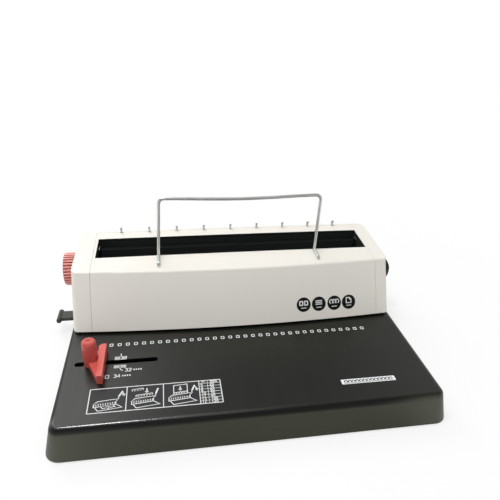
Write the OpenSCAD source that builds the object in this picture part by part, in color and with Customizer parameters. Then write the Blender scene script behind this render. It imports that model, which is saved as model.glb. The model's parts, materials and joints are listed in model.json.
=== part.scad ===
// Wire binding machine, A4, three holes to the inch.
// Origin: centre of the footprint on the desk, +Z up, operator at -Y, millimetres.
// The lower edge of the white front face lies at Y = 0 at mid-length.

/* [Base] */
// Width of the base at its lower rim
base_w = 382; // [376:1:430]
// Depth of the base at its lower rim
base_d = 270; // [262:1:320]
// Height of the skirt, rim to table top
base_h = 32; // [31:0.5:44]
// How far each wall leans in from rim to table
base_flare = 7; // [3:0.5:9]
// Rounding between the table and the walls
base_edge_r = 5; // [3.5:0.5:12]
// Plan radius of the corners of the flat table
base_corner_r = 4; // [2:1:30]
// Sheet thickness of the base
base_wall = 2; // [1.2:0.1:3]
// Gap between the rim and the desk
rim_gap = 1.5; // [1:0.1:3]
// Thickness of the bottom plate
plate_t = 1.5; // [1:0.1:2.5]
// Radius of a rubber foot
foot_r = 10; // [6:0.5:14]

/* [Body] */
// Ends of the body in from the rim of the base
body_inset = 9.2; // [8:0.1:12]
// Rim of the base behind the rear face
rear_margin = 13.5; // [10:0.1:20]
// Bulge of the front face over that width
body_bow = 7.7; // [4:0.1:10]
// Paper slot under the front face
slot_h = 2.8; // [2.8:0.1:4]
// Height of the front top edge over the table
body_h = 61.9; // [60:0.1:72]
// How far that edge lies behind the lower edge
body_lean = 27.3; // [20:0.1:29]
// Slope of the top, rising to the back, degrees
body_slope = 4.7; // [3:0.1:7]
// Rim of the top between the trough and the rear face
rear_rim = 17.4; // [15:0.1:22]
// Wall of the moulded covers
body_wall = 2.5; // [1.8:0.1:3]
// Width of the left end cap
cap_left_w = 20; // [19.6:0.1:21]
// Width of the right end cap
cap_right_w = 15.6; // [15:0.1:17]
// Open joint between the covers
seam = 0.2; // [0.1:0.1:0.8]
// Rounding of the front top edge
crown_r = 3; // [1:0.5:5]
// Rounding of the caps' front edges
cap_front_r = 6; // [3:0.5:9]
// Plan radius of the caps' rear corners
cap_rear_r = 11; // [6:0.5:18]

/* [Trough] */
// Left end of the body, up to the trough
end_left = 23.3; // [22.5:0.1:26]
// Right end of the body, from the trough
end_right = 17.3; // [16.6:0.1:20]
// Front edge of the trough behind the face
trough_y = 61.8; // [60:0.1:63]
// Height of the trough floor over the table
trough_floor = 46; // [45.8:0.1:47]
// Wall of the trough liner
liner_t = 2; // [1.5:0.1:2.2]

/* [Punch] */
// Distance between holes, a third of an inch
hole_pitch = 8.4667; // [8.4:0.0001:8.5]
// Side of a square punch pin
pin_side = 3.8; // [3:0.1:4.2]
// Play between a pin and its hole, each side
pin_play = 0.15; // [0.1:0.01:0.25]
// Line of the pins behind the face
punch_y = 32; // [31:0.1:33]
// Travel of the pins
punch_stroke = 9.6; // [8.5:0.1:9.8]
// Distance from the paper stop to the pin line
paper_margin = 4.5; // [3.5:0.1:5]
// Thickness of the stripper plate
stripper_t = 5.5; // [4.5:0.1:5.6]
// Thickness of the die flange under the table
die_flange_t = 4; // [3:0.1:4.5]
// Depth of the punch beam, front to back
beam_d = 12; // [11:0.1:13]
// Height of the punch beam
beam_h = 12.7; // [11:0.1:13]
// Radius of a guide post
post_r = 2.5; // [2:0.1:2.8]
// Wire radius of a return spring
spring_wire_r = 0.4; // [0.3:0.05:0.5]
// Coil radius of a return spring
spring_r = 2; // [1.8:0.1:2.1]
// Turns of a return spring
spring_turns = 8; // [6:1:9]

/* [Lever] */
// Shaft axis behind the face
lever_y = 76; // [75.5:0.1:76.5]
// Shaft axis over the table
lever_h = 25.5; // [25.2:0.1:25.8]
// Swing of the lever, degrees
lever_swing = 150; // [140:1:155]
// Lever at rest below the horizontal, degrees
lever_drop = 11; // [4:1:12]
// Radius of the lever shaft
shaft_r = 5; // [4:0.1:5.2]
// Running play of a shaft, radial
shaft_play = 0.05; // [0.02:0.01:0.1]
// Radius of the lever hub
hub_r = 12.5; // [11:0.5:18]
// Length of the lever hub
hub_l = 20; // [17:0.5:24]
// Radius of the lever rod
rod_r = 6; // [4.5:0.1:6.5]
// Reach of the lever, shaft axis to grip end
lever_reach = 195; // [170:1:220]
// Length of the grip
grip_l = 92; // [70:1:110]
// Radius of the grip
grip_r = 11; // [9:0.5:13]
// Width of a cam
cam_w = 8; // [6:0.1:8]

/* [Closing] */
// Travel of the closing bar
close_stroke = 7; // [6:0.1:7.2]
// Thickness of the closing bar
close_t = 8; // [6:0.1:8.5]
// Height of both bars in the trough
jaw_h = 12; // [10:0.1:13]
// Largest wire that is closed
wire_max = 14.3; // [14:0.1:15]
// Smallest wire that is closed
wire_min = 4.8; // [4.6:0.1:6]
// Thickness of the gap bar
gap_t = 6; // [5:0.1:6.5]

/* [Size knob] */
// Knob axis behind the face
knob_y = 75; // [74.5:0.1:76]
// Knob axis over the table
knob_h = 45; // [44.5:0.1:45.3]
// Radius of the knob over its ribs
knob_r = 19; // [15:0.1:20]
// Width of the knob
knob_w = 12; // [9:0.1:15]
// Number of grip ribs
knob_ribs = 32; // [20:1:36]
// Turn from smallest to largest wire, degrees
knob_turn = 270; // [250:1:275]
// Radius of the knob shaft
knob_shaft_r = 3; // [2.5:0.1:3.2]

/* [Chip tray] */
// Depth of the tray, front to back
tray_d = 74; // [66:1:78]
// Height of the tray
tray_h = 19.5; // [15:0.1:20]
// Free length of the base at the right of the tray
tray_end = 45; // [38:1:46]
// Wall of the tray
tray_wall = 1.6; // [1.2:0.1:2.4]
// Front side of the tray behind the face
tray_y = 22; // [20:0.5:24]
// Width of the pull's head
pull_w = 22.5; // [18:0.5:28]
// Length of the pull
pull_l = 19.5; // [14:0.5:24]

/* [Side stop] */
// Length of the slot in the table
slot_l = 82.4; // [76:0.2:88]
// Width of that slot
slot_w = 6.4; // [5.6:0.1:8]
// Left end of the slot in from the rim
slot_in = 17.6; // [16:0.1:24]
// Slot in front of the face
slot_y = 44; // [40:0.5:48]
// Length of the stop's fence
fence_l = 49.5; // [40:0.5:54]
// Height of the fence
fence_h = 10; // [8:0.1:13]
// Radius of the thumb knob
thumb_r = 7.3; // [6:0.1:9]
// Height of the thumb knob
thumb_h = 22; // [14:0.5:24]
// Thumb knob axis from the slot's left end
thumb_x = 16.2; // [13:0.1:17]

/* [Bail and hooks] */
// Span of the bail between its legs
bail_span = 185; // [160:1:200]
// Shift of the bail to the right
bail_x = 5; // [2:0.5:8]
// Top of the bail over the table
bail_h = 137.5; // [120:0.5:150]
// Radius of the bail wire
bail_wire_r = 1.8; // [1.2:0.1:2]
// Foot of the bail, front to back
bail_foot = 19; // [14:0.5:20]
// Holes between two hooks
hook_step = 4; // [3:1:4]
// Height of a hook over the rear edge
hook_h = 6.5; // [4:0.1:9]

/* [Hidden] */
$fn = 96;
eps = 0.01;
big = 600;
close_gap = 0.3;
contact_gap = 0.2;
sliver = 0.02;

base_wall_l = norm([base_h, base_flare]);
base_shoulder = base_edge_r * (base_wall_l - base_flare) / base_h;
rim_corner_r = tidy(base_flare + base_shoulder + base_corner_r);
table_z = rim_gap + base_h;
skin_z = table_z - base_wall;
plate_z = rim_gap + 1;
plate_top = plate_z + plate_t;

jaw_room_front = 3;
jaw_room_rear = 4;
trough_w = jaw_room_front + gap_t + wire_max + close_stroke + close_t + jaw_room_rear;
trough_y1 = trough_y + trough_w;
body_d = trough_y1 + rear_rim;
base_y = body_d + rear_margin - base_d / 2;
body_w = base_w - 2 * body_inset;
bow_r = (pow(body_w / 2, 2) + pow(body_bow, 2)) / (2 * body_bow);
bow_fn = 720;
lean_a = atan2(body_lean, body_h - slot_h);
seam_left = -body_w / 2 + cap_left_w;
seam_right = body_w / 2 - cap_right_w;

trough_x0 = -body_w / 2 + end_left;
trough_x1 = body_w / 2 - end_right;
trough_x = (trough_x0 + trough_x1) / 2;
floor_z = table_z + trough_floor;
frame_t = 3;
frame_left = trough_x0 - liner_t;
frame_right = trough_x1 + liner_t;

lever_z = table_z + lever_h;
swing_rad = lever_swing * PI / 180;
punch_lift = punch_stroke / swing_rad;
close_lift = close_stroke / swing_rad;
cam_hub = 3;
rod_root = shaft_r + 2.5;
punch_seat = shaft_r + cam_hub + 0.5;
close_seat = shaft_r + cam_hub - 0.5;

arm_w = cam_w + 1;
arm_out = -frame_left - 2;
arm_in = arm_out - arm_w;
arm_mid = arm_out - arm_w / 2;
die_half = arm_in - 1;
hole_count = floor((2 * die_half - 4.6 * pin_side) / hole_pitch) + 1;
row_half = (hole_count - 1) / 2 * hole_pitch;
die_y0 = punch_y - 8;
die_y1 = punch_y + 12;
slot_top = table_z + slot_h - 0.2;
stripper_z = slot_top + stripper_t;
retainer_z = stripper_z + 0.6 + punch_stroke;
retainer_t = 1.7;
head_t = 1.3;
beam_z = retainer_z + retainer_t + head_t;
arm_top = lever_z - punch_seat;
arm_z = table_z + 0.8 + punch_stroke;
cam_sweep = norm([punch_lift, punch_seat + punch_stroke]);
post_y = lever_y - cam_sweep - 9.5;
spring_inset = 3.9;
stud_r = post_r - 0.5;
screw_r = 1.5;
screw_play = 0.2;

close_y = trough_y1 - jaw_room_rear - close_t;
gap_y1 = close_y - close_stroke - wire_max;
gap_travel = wire_max - wire_min;
knob_lift = gap_travel / (knob_turn * PI / 180);
knob_seat = knob_shaft_r + 2;
knob_z = table_z + knob_h;
size_cam_w = 4;
yoke_t = 5.3;
jaw_z = floor_z + close_gap;
tongue_z0 = knob_z + knob_shaft_r + 2;
tongue_h = 7;

close_cam_x = arm_in - 31.5;
close_cam_w = 6;
tray_z = plate_top + 1.5;
tray_x1 = base_w / 2 - tray_end;
hook_pitch = hook_step * hole_pitch;
hook_count = 2 * floor(row_half / hook_pitch) + 1;
slot_x = base_w / 2 - slot_in - slot_l / 2;

// Turn a vector in the plane by an angle.
function turned(v, a) = [v[0] * cos(a) - v[1] * sin(a), v[0] * sin(a) + v[1] * cos(a)];

// Point where two lines meet, each given by a unit normal and its distance from the origin.
function meet(n1, c1, n2, c2) =
  let (det = n1[0] * n2[1] - n1[1] * n2[0])
  [(c1 * n2[1] - c2 * n1[1]) / det, (n1[0] * c2 - n2[0] * c1) / det];

// Height of the top surface of the body over a point in plan.
function top_z(x, y) =
  table_z + body_h
  + (bow_r - body_lean - norm([x, bow_r - y])) * tan(body_slope);

// Flank of a cam that pushes a flat follower in direction d by `lift` per radian.
function involute(d, seat, lift, turn, n = 40) = [
  for (i = [0 : n])
    let (a = turn * i / n)
    turned(d * (seat + lift * a * PI / 180) + [d[1], -d[0]] * lift, -a)
];

// Round to a hundredth, so that pieces set end to end meet.
function tidy(v) = round(v * 100) / 100;

// Centres of the pins along the row.
function pin_x(i) = (i - (hole_count - 1) / 2) * hole_pitch;

// Draw in the YZ plane and extrude along +X.
module along_x(x, w) {
  translate([x, 0, 0]) rotate([90, 0, 90]) linear_extrude(w) children();
}

// Box from two corners.
module block(a, b) {
  translate(a) cube([b[0] - a[0], b[1] - a[1], b[2] - a[2]]);
}

// Upright cylinder on a point.
module post(p, r, h) {
  translate(p) cylinder(r = r, h = h);
}

// Cylinder along +X from a point.
module axle(x, y, z, r, l) {
  translate([x, y, z]) rotate([0, 90, 0]) cylinder(r = r, h = l);
}

// Border of the base in section, `l` wide at the rim: leaning wall and rounded shoulder.
module base_border(l, h, r) {
  wall = [base_h, base_flare] / base_wall_l;
  m = meet(wall, l * wall[0] - r, [0, 1], h - r);
  intersection() {
    union() {
      polygon([[0, 0], [l, 0], m + wall * r, [m[0], h], [0, h]]);
      translate(m) circle(r = r);
    }
    square([l, h]);
  }
}

// Plan of a rectangle with round corners.
module round_rect(w, d, r) {
  union() {
    square([w, d - 2 * r], center = true);
    square([w - 2 * r, d], center = true);
    for (x = [-1, 1], y = [-1, 1])
      translate([x * (w / 2 - r), y * (d / 2 - r)]) circle(r = r);
  }
}

// Solid form of the base, drawn in by `inset` on the walls and the table.
module base_form(inset) {
  h = base_h - inset;
  r = base_edge_r - inset;
  l = rim_corner_r - inset;
  x1 = base_w / 2 - rim_corner_r;
  y1 = base_d / 2 - rim_corner_r;
  translate([0, base_y, rim_gap]) union() {
    block([-x1, -y1, 0], [x1, y1, h]);
    for (s = [0, 1]) rotate(180 * s) {
      translate([x1, 0, 0]) rotate([90, 0, 0]) linear_extrude(2 * y1, center = true) base_border(l, h, r);
      translate([0, y1, 0]) rotate([90, 0, 90]) linear_extrude(2 * x1, center = true) base_border(l, h, r);
      translate([x1, y1, 0]) rotate_extrude(angle = 90) base_border(l, h, r);
      translate([-x1, y1, 0]) rotate(90) rotate_extrude(angle = 90) base_border(l, h, r);
    }
  }
}

// Places of the corner bosses of the base.
module at_bosses() {
  for (x = [-1, 1], y = [-1, 1])
    translate([x * (base_w / 2 - base_flare - 20), base_y + y * (base_d / 2 - base_flare - 18), 0])
      children();
}

// Opening in the left wall through which the tray slides.
module tray_mouth(play) {
  block(
    [-base_w, tray_y - play, tray_z - play],
    [-base_w / 2 + base_flare + base_edge_r + 8, tray_y + tray_d + play, tray_z + tray_h + play]
  );
}

// Pressed base with the table, open below.
module base_shell() {
  color("#3a3a36") difference() {
    union() {
      difference() {
        base_form(0);
        translate([0, 0, -eps]) base_form(base_wall);
      }
      at_bosses() post([0, 0, plate_top], 5, skin_z - plate_top + 1);
    }
    at_bosses() post([0, 0, plate_top - eps], screw_r + sliver, 12);
    block([-die_half - close_gap, die_y0 - close_gap, skin_z - 1],
          [die_half + close_gap, die_y1 + close_gap, table_z + 1]);
    translate([-slot_x, -slot_y, skin_z - 1]) linear_extrude(base_wall + 2) slot_plan(slot_l, slot_w);
    for (s = [-1, 1]) {
      post([s * arm_mid, post_y, skin_z - 1], stud_r + sliver, base_wall + 2);
      at_frame_screws(s) post([0, 0, skin_z - 1], screw_r + sliver, base_wall + 2);
    }
    tray_mouth(0.4);
  }
}

// Slot with round ends.
module slot_plan(l, w) {
  union() {
    square([l - w, w], center = true);
    for (s = [-1, 1]) translate([s * (l - w) / 2, 0]) circle(d = w);
  }
}

// Steel plate that closes the base from below.
module bottom_plate() {
  w = base_w - 2 * base_wall - 4 * close_gap - 2 * base_flare * (plate_z + plate_t - rim_gap) / base_h;
  d = base_d - 2 * base_wall - 4 * close_gap - 2 * base_flare * (plate_z + plate_t - rim_gap) / base_h;
  color("#55565a") difference() {
    translate([0, base_y, plate_z]) linear_extrude(plate_t) round_rect(w, d, rim_corner_r - base_wall);
    at_bosses() post([0, 0, 0], screw_r + screw_play, big);
  }
}

// Four rubber feet under the bottom plate.
module rubber_feet() {
  color("#1c1c1c") for (x = [-1, 1], y = [-1, 1])
    translate([x * (base_w / 2 - 45), base_y + y * (base_d / 2 - 35), 0])
      rotate_extrude() polygon([[0, 0], [foot_r - 1, 0], [foot_r, 1], [foot_r, plate_z], [0, plate_z]]);
}

// Screws of the bottom plate.
module bottom_screws() {
  color("#8d8f92") at_bosses() {
    post([0, 0, plate_z - 1], 3, 1);
    post([0, 0, plate_z - eps], screw_r, plate_t + 8);
  }
}

// Two rails that carry and guide the chip tray.
module tray_runners() {
  x0 = -base_w / 2 + base_flare + base_edge_r + 8;
  color("#6d7075") for (s = [0, 1])
    translate([0, s * (2 * tray_y + tray_d), 0]) mirror([0, s, 0]) {
      block([x0, tray_y - 2, plate_top], [tray_x1 - 4, tray_y - close_gap, tray_z + 8]);
      block([x0, tray_y - 2, plate_top], [tray_x1 - 4, tray_y + 6, tray_z - close_gap]);
    }
}

// Square holes along the row, through everything between two heights.
module pin_holes(play, z0, z1) {
  side = pin_side + 2 * play;
  for (i = [0 : hole_count - 1])
    block([pin_x(i) - side / 2, punch_y - side / 2, z0], [pin_x(i) + side / 2, punch_y + side / 2, z1]);
}

// Places of the stripper screws, behind the paper stop.
module at_stripper_screws() {
  for (x = [-0.93, -0.34, 0.34, 0.93])
    translate([x * die_half, punch_y + paper_margin + 4, 0]) children();
}

// Die let into the table, held by a flange below it.
module die_plate() {
  color("#b9bcc0") difference() {
    union() {
      block([-die_half, die_y0, skin_z - 1], [die_half, die_y1, table_z]);
      block([-die_half, die_y0 - 4, skin_z - die_flange_t], [die_half, die_y1 + 4, skin_z - eps]);
    }
    pin_holes(pin_play, skin_z - big, table_z + 1);
    at_stripper_screws() post([0, 0, skin_z - 2], screw_r + sliver, 10);
  }
}

// Paper stop and end spacers between the die and the stripper.
module back_stop() {
  color("#9da0a4") difference() {
    block([-die_half, die_y0, table_z], [die_half, die_y1, slot_top]);
    block([-row_half - 4, die_y0 - 1, table_z - 1], [row_half + 4, punch_y + paper_margin, slot_top + 1]);
    at_stripper_screws() post([0, 0, table_z - 1], screw_r + screw_play, 10);
  }
}

// Stripper that guides the pins over the paper.
module stripper_plate() {
  color("#a9acb0") difference() {
    block([-die_half, die_y0, slot_top], [die_half, die_y1, stripper_z]);
    pin_holes(pin_play, slot_top - 1, stripper_z + 1);
    at_stripper_screws() {
      post([0, 0, slot_top - 1], screw_r + screw_play, 20);
      post([0, 0, stripper_z - 2.4], 2.7 + screw_play, 10);
    }
  }
}

// Socket screws that hold stripper, stop and die together.
module stripper_screws() {
  color("#3c3d40") at_stripper_screws() difference() {
    union() {
      post([0, 0, stripper_z - 2.4], 2.7, 2.2);
      post([0, 0, skin_z - 1.5], screw_r, stripper_z - 2.4 - skin_z + 1.5 + eps);
    }
    translate([0, 0, stripper_z - 1.5]) cylinder(r = 1.4, h = 3, $fn = 6);
  }
}

// Upright posts on which the punch arms run.
module guide_posts() {
  color("#d4d6d8") for (s = [-1, 1]) union() {
    post([s * arm_mid, post_y, table_z], post_r, beam_z + beam_h + 8 - table_z);
    post([s * arm_mid, post_y, skin_z], stud_r, base_wall + eps);
  }
}

// Outline of a side frame, seen from the side.
module frame_outline() {
  polygon([
    [die_y0, table_z], [body_d - 9.5, table_z], [body_d - 9.5, table_z + body_h],
    [trough_y - 2, table_z + body_h - 4], [trough_y - 18, table_z + body_h - 5],
    [punch_y + 4, table_z + body_h - 16]
  ]);
}

// Side frame: plate, foot flange, bush hole and the slot for the gap bar's tongue.
module side_frame(x, out) {
  flange = out < 0 ? [x - 9, x + eps] : [x + frame_t - eps, x + frame_t + 6];
  difference() {
    union() {
      along_x(x, frame_t) frame_outline();
      block([flange[0], trough_y - 6, table_z], [flange[1], body_d - 11, table_z + 3]);
    }
    axle(x - 1, lever_y, lever_z, shaft_r + 2, frame_t + 2);
    tongue_slot(x - 1, frame_t + 2);
    at_frame_screws(out) post([0, 0, table_z - 1], screw_r + screw_play, 10);
  }
}

// Window in which the gap bar's tongue travels.
module tongue_slot(x, w) {
  block([x, gap_y1 - gap_t - 0.5, tongue_z0 - 0.5],
        [x + w, gap_y1 + gap_travel + 0.5, tongue_z0 + tongue_h + 0.5]);
}

// Places of the screws in the foot flanges.
module at_frame_screws(out) {
  x = out < 0 ? frame_left - frame_t - 4.5 : frame_right + frame_t + 3;
  for (y = [trough_y + 2, body_d - 17]) translate([x, y, 0]) children();
}

module side_frame_left() {
  color("#7f8286") difference() {
    side_frame(frame_left - frame_t, -1);
    axle(frame_left - frame_t - 1, knob_y, knob_z, knob_shaft_r + shaft_play, frame_t + 2);
    at_trough_screws(0) axle(-5, 0, 0, screw_r + sliver, 10);
  }
}

module side_frame_right() {
  color("#7f8286") difference() {
    side_frame(frame_right, 1);
    at_trough_screws(1) axle(-5, 0, 0, screw_r + sliver, 10);
  }
}

// Screws that hold the frames to the table.
module frame_screws() {
  color("#8d8f92") for (s = [-1, 1]) at_frame_screws(s) {
    post([0, 0, table_z + 3], 2.7, 1.6);
    post([0, 0, skin_z], screw_r, base_wall + 3 + eps);
  }
}

// Flanged bushes in the frames.
module shaft_bushes() {
  color("#b08d4f") for (s = [0, 1])
    translate([s == 0 ? frame_left : frame_right, lever_y, lever_z]) mirror([1 - s, 0, 0])
      rotate([0, 90, 0]) rotate_extrude() polygon([
        [shaft_r + shaft_play, -1.2], [shaft_r + 3.5, -1.2], [shaft_r + 3.5, 0],
        [shaft_r + 2 - sliver, 0], [shaft_r + 2 - sliver, frame_t], [shaft_r + shaft_play, frame_t]
      ]);
}

// Height of the liner's rim under the covers.
function rim_z(y) = top_z(body_w / 2, y) - body_wall - close_gap;

// Places of the screws through the liner's end walls.
module at_trough_screws(end) {
  x = end == 0 ? trough_x0 : trough_x1;
  for (y = [trough_y1 - 9, trough_y1 - 3.5]) translate([x, y, floor_z + 12]) children();
}

// Black channel in which the wire is closed.
module trough_liner() {
  y0 = trough_y - liner_t;
  y1 = trough_y1 + liner_t;
  color("#1a1b1d") difference() {
    along_x(frame_left, frame_right - frame_left)
      polygon([[y0, floor_z - liner_t], [y1, floor_z - liner_t], [y1, rim_z(y1)], [y0, rim_z(y0)]]);
    block([trough_x0, trough_y, floor_z], [trough_x1, trough_y1, table_z + big]);
    for (s = [-1, 1])
      block([s * (close_cam_x + 10) - 3.5, close_y - close_stroke - 0.5, floor_z - 5],
            [s * (close_cam_x + 10) + 3.5, close_y + close_t + 0.5, floor_z + 1]);
    tongue_slot(frame_left - 1, liner_t + 2);
    tongue_slot(trough_x1 - 1, liner_t + 2);
    for (e = [0, 1]) at_trough_screws(e) axle(-5, 0, 0, screw_r + screw_play, 10);
  }
}

// Screws that hold the liner to the frames.
module trough_screws() {
  color("#c9cbcd") for (e = [0, 1]) at_trough_screws(e) mirror([e, 0, 0]) {
    axle(0, 0, 0, 2.4, 1.2);
    axle(-liner_t - frame_t, 0, 0, screw_r, liner_t + frame_t + eps);
  }
}

// Section of the crown: leaning face, rounded edge and sloping top, filled down to `low`.
module crown_section(inset, low) {
  face = [cos(lean_a), sin(lean_a)];
  top = [sin(body_slope), cos(body_slope)];
  face_c = [bow_r, slot_h] * face - inset;
  top_c = [bow_r - body_lean, body_h] * top - inset;
  r = max(crown_r - inset, 0.3);
  m = meet(face, face_c - r, top, top_c - r);
  foot = meet(face, face_c, [0, 1], low);
  back = meet([1, 0], bow_r - body_d - 20, top, top_c);
  union() {
    polygon([foot, m + face * r, m + top * r, back, [back[0], low]]);
    translate(m) circle(r = r);
  }
}

// Solid under the covers' outer skin: the bowed face is a cone about an upright axis far behind.
module crown(inset, low = 0) {
  half = asin(body_w / 2 / (bow_r - body_d - 20)) + 0.2;
  translate([0, bow_r, table_z]) rotate([0, 0, -90 - half])
    rotate_extrude(angle = 2 * half, $fn = bow_fn) crown_section(inset, low);
}

// White cover: bowed front and top in one piece, cut out for the trough.
module front_shell() {
  color("#e9e6dd") difference() {
    union() {
      intersection() {
        difference() {
          crown(0, slot_h);
          crown(body_wall, slot_h - 1);
        }
        block([seam_left + seam, -50, table_z], [seam_right - seam, body_d - body_wall - 0.1, table_z + big]);
      }
      intersection() {
        crown(1, slot_h);
        block([seam_left + seam, body_d - 4.1 - body_wall, top_z(body_w / 2, body_d) - 14],
              [seam_right - seam, body_d - 4.1, table_z + big]);
      }
      intersection() {
        crown(1, slot_h);
        for (s = [-1, 1]) translate([bail_x + s * bail_span / 2, bail_front(), 0])
          post([0, 0, top_z(0, bail_front()) - 9], bail_wire_r + 2.4, 20);
      }
    }
    block([trough_x0, trough_y, table_z + body_h - 10], [trough_x1, trough_y1, table_z + big]);
    for (s = [-1, 1]) translate([bail_x + s * bail_span / 2, bail_front(), 0])
      post([0, 0, table_z + 30], bail_wire_r + shaft_play, 100);
    at_cover_screws() screw_hole(sliver);
    at_hooks() block([-1.2 - close_gap, body_d - 4 - close_gap, rim_z(body_d) - 2],
                     [1.2 + close_gap, body_d, big]);
  }
}

// Plan of the right-hand end across the leaning face: front corner rounded, tangent to the bow.
module cap_plan_front(inset) {
  x1 = body_w / 2 - inset;
  px = body_w / 2 - cap_front_r;
  py = (bow_r - sqrt(pow(bow_r, 2) - pow(px, 2))) * cos(lean_a);
  slope = atan(tan(asin(px / bow_r)) * cos(lean_a));
  n = [sin(slope), -cos(slope)];
  c = [px, py] * n - inset;
  r = max(cap_front_r - inset, 0.3);
  m = meet(n, c - r, [1, 0], x1 - r);
  x0 = seam_right - 40;
  union() {
    polygon([
      [x0, (n[0] * x0 - c) / -n[1]], m + n * r, [x1, m[1]], [x1, big], [x0, big]
    ]);
    translate(m) circle(r = r);
  }
}

// Right-hand end of the covers as a solid, drawn in by `inset`.
module cap_form(inset, low) {
  r = max(cap_rear_r - inset, 0.5);
  intersection() {
    crown(inset, low);
    translate([0, 0, table_z + slot_h]) rotate([-lean_a, 0, 0])
      linear_extrude(big, center = true) cap_plan_front(inset);
    translate([0, 0, table_z + low]) linear_extrude(big) union() {
      polygon([
        [seam_right - 40, -50], [body_w / 2 - inset, -50], [body_w / 2 - inset, body_d - inset - r],
        [body_w / 2 - inset - r, body_d - inset], [seam_right - 40, body_d - inset]
      ]);
      translate([body_w / 2 - inset - r, body_d - inset - r]) circle(r = r);
    }
  }
}

// End cap on the right, open towards the frame and below.
module cap_shell(w) {
  difference() {
    cap_form(0, 0);
    translate([0, 0, -eps]) cap_form(body_wall, -1);
    block([-big, -50, 0], [body_w / 2 - w, big, big]);
    block([0, -50, 0], [big, die_y1, table_z + slot_h]);
  }
}

module end_cap_left() {
  color("#e9e6dd") difference() {
    mirror([1, 0, 0]) cap_shell(cap_left_w);
    axle(-body_w / 2 - 5, knob_y, knob_z, knob_shaft_r + close_gap, 10);
  }
}

module end_cap_right() {
  color("#e9e6dd") difference() {
    cap_shell(cap_right_w);
    axle(body_w / 2 - 5, lever_y, lever_z, shaft_r + close_gap, 10);
  }
}

// Rear wall between the caps.
module rear_cover() {
  color("#e2dfd6") difference() {
    intersection() {
      crown(0, 0);
      block([seam_left + seam, body_d - body_wall, table_z], [seam_right - seam, body_d, table_z + big]);
    }
    at_cover_screws() screw_hole(screw_play);
  }
}

// Places of the screws along the rear edge.
module at_cover_screws() {
  last = hook_count / 2 - 1;
  for (i = [-last, 0.5, last])
    translate([trough_x + i * hook_pitch, body_d, top_z(body_w / 2, body_d) - 9]) children();
}

// Hole for a cover screw, front to back.
module screw_hole(play) {
  rotate([-90, 0, 0]) cylinder(r = screw_r + play, h = 30, center = true);
}

// Places of the hooks along the rear edge.
module at_hooks() {
  for (i = [0 : hook_count - 1])
    translate([trough_x + (i - (hook_count - 1) / 2) * hook_pitch, 0, 0]) children();
}

// Strip of steel hooks on which the wire hangs: a plate under the top, and tabs through its slots.
module hook_strip() {
  y0 = body_d - 4;
  y1 = body_d - body_wall - 0.1;
  z0 = rim_z(y0);
  z1 = top_z(body_w / 2, body_d) - 0.6 + hook_h;
  half = (hook_count - 1) / 2 * hook_pitch;
  color("#b4b6b8") difference() {
    union() {
      block([trough_x - half - 14, y0, z0 - 10.5], [trough_x + half + 14, y1, z0]);
      at_hooks() along_x(-1.2, 2.4) polygon([
        [y0, z0 - 1], [y1, z0 - 1], [y1, z1], [y1 - 1.2, z1 + 1.2],
        [y0 - 1.6, z1 + 1.2], [y0 - 1.6, z1 - 0.2], [y0, z1 - 0.2]
      ]);
    }
    at_cover_screws() screw_hole(screw_play);
  }
}

// Screws through the rear cover, the hooks and the shell's flange.
module cover_screws() {
  color("#8d8f92") at_cover_screws() rotate([90, 0, 0]) {
    translate([0, 0, -1.4]) cylinder(r = 2.8, h = 1.4);
    translate([0, 0, -eps]) cylinder(r = screw_r, h = 7);
  }
}

// Lever shaft across the machine.
module lever_shaft() {
  x0 = frame_left - frame_t - 1.5;
  color("#c4c6c8") axle(x0, lever_y, lever_z, shaft_r, body_w / 2 + hub_l - 3 - x0);
}

// Plate cam about the lever shaft.
module lever_cam(x, w, d, seat, lift) {
  translate([0, lever_y, lever_z]) along_x(x, w) difference() {
    union() {
      polygon(concat(involute(d, seat - contact_gap, lift, lever_swing), [[0, 0]]));
      circle(r = min(seat - contact_gap, shaft_r + cam_hub));
    }
    circle(r = shaft_r + sliver);
  }
}

// Cams that press the punch arms down.
module punch_cams() {
  color("#8a8d91") for (s = [-1, 1])
    lever_cam(s * arm_mid - cam_w / 2, cam_w, [0, -1], punch_seat, punch_lift);
}

// Cams that push the closing bar forward.
module closing_cams() {
  color("#8a8d91") for (s = [-1, 1])
    lever_cam(s * (close_cam_x + close_cam_w / 2) - close_cam_w / 2, close_cam_w,
              [-1, 0], close_seat, close_lift);
}

// Direction of the lever at rest, from the shaft to the grip.
module on_lever() {
  translate([body_w / 2 + 1.2 + hub_l / 2, lever_y, lever_z]) rotate([-90 - lever_drop, 0, 0]) children();
}

// Black hub on the right-hand end.
module lever_hub() {
  x0 = body_w / 2 + 1.2;
  round_r = 2.5;
  color("#1f2022") difference() {
    translate([x0, lever_y, lever_z]) rotate([0, 90, 0]) rotate_extrude() union() {
      polygon([
        [shaft_r + sliver, 0], [hub_r, 0], [hub_r, hub_l - round_r], [hub_r - round_r, hub_l],
        [shaft_r + sliver, hub_l]
      ]);
      translate([hub_r - round_r, hub_l - round_r]) circle(r = round_r);
    }
    on_lever() translate([0, 0, rod_root]) cylinder(r = rod_r + sliver, h = 30);
  }
}

// Steel rod of the lever.
module lever_rod() {
  color("#c4c6c8") on_lever() translate([0, 0, rod_root]) cylinder(r = rod_r, h = lever_reach - 6 - rod_root);
}

// Moulded grip, swelling towards its round end.
module lever_grip() {
  color("#1f2022") on_lever() translate([0, 0, lever_reach - grip_l]) rotate_extrude() difference() {
    union() {
      polygon([
        [0, 0], [grip_r - 3, 0], [grip_r - 2, 1], [grip_r - 2, 14], [grip_r - 0.6, grip_l * 0.4],
        [grip_r, grip_l * 0.7], [grip_r, grip_l - 8], [grip_r - 8, grip_l], [0, grip_l]
      ]);
      translate([grip_r - 8, grip_l - 8]) circle(r = 8);
    }
    translate([0, -1]) square([rod_r + sliver, grip_l - 6 + 1 + sliver]);
    translate([-big, -big]) square([big, 2 * big]);
  }
}

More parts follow.
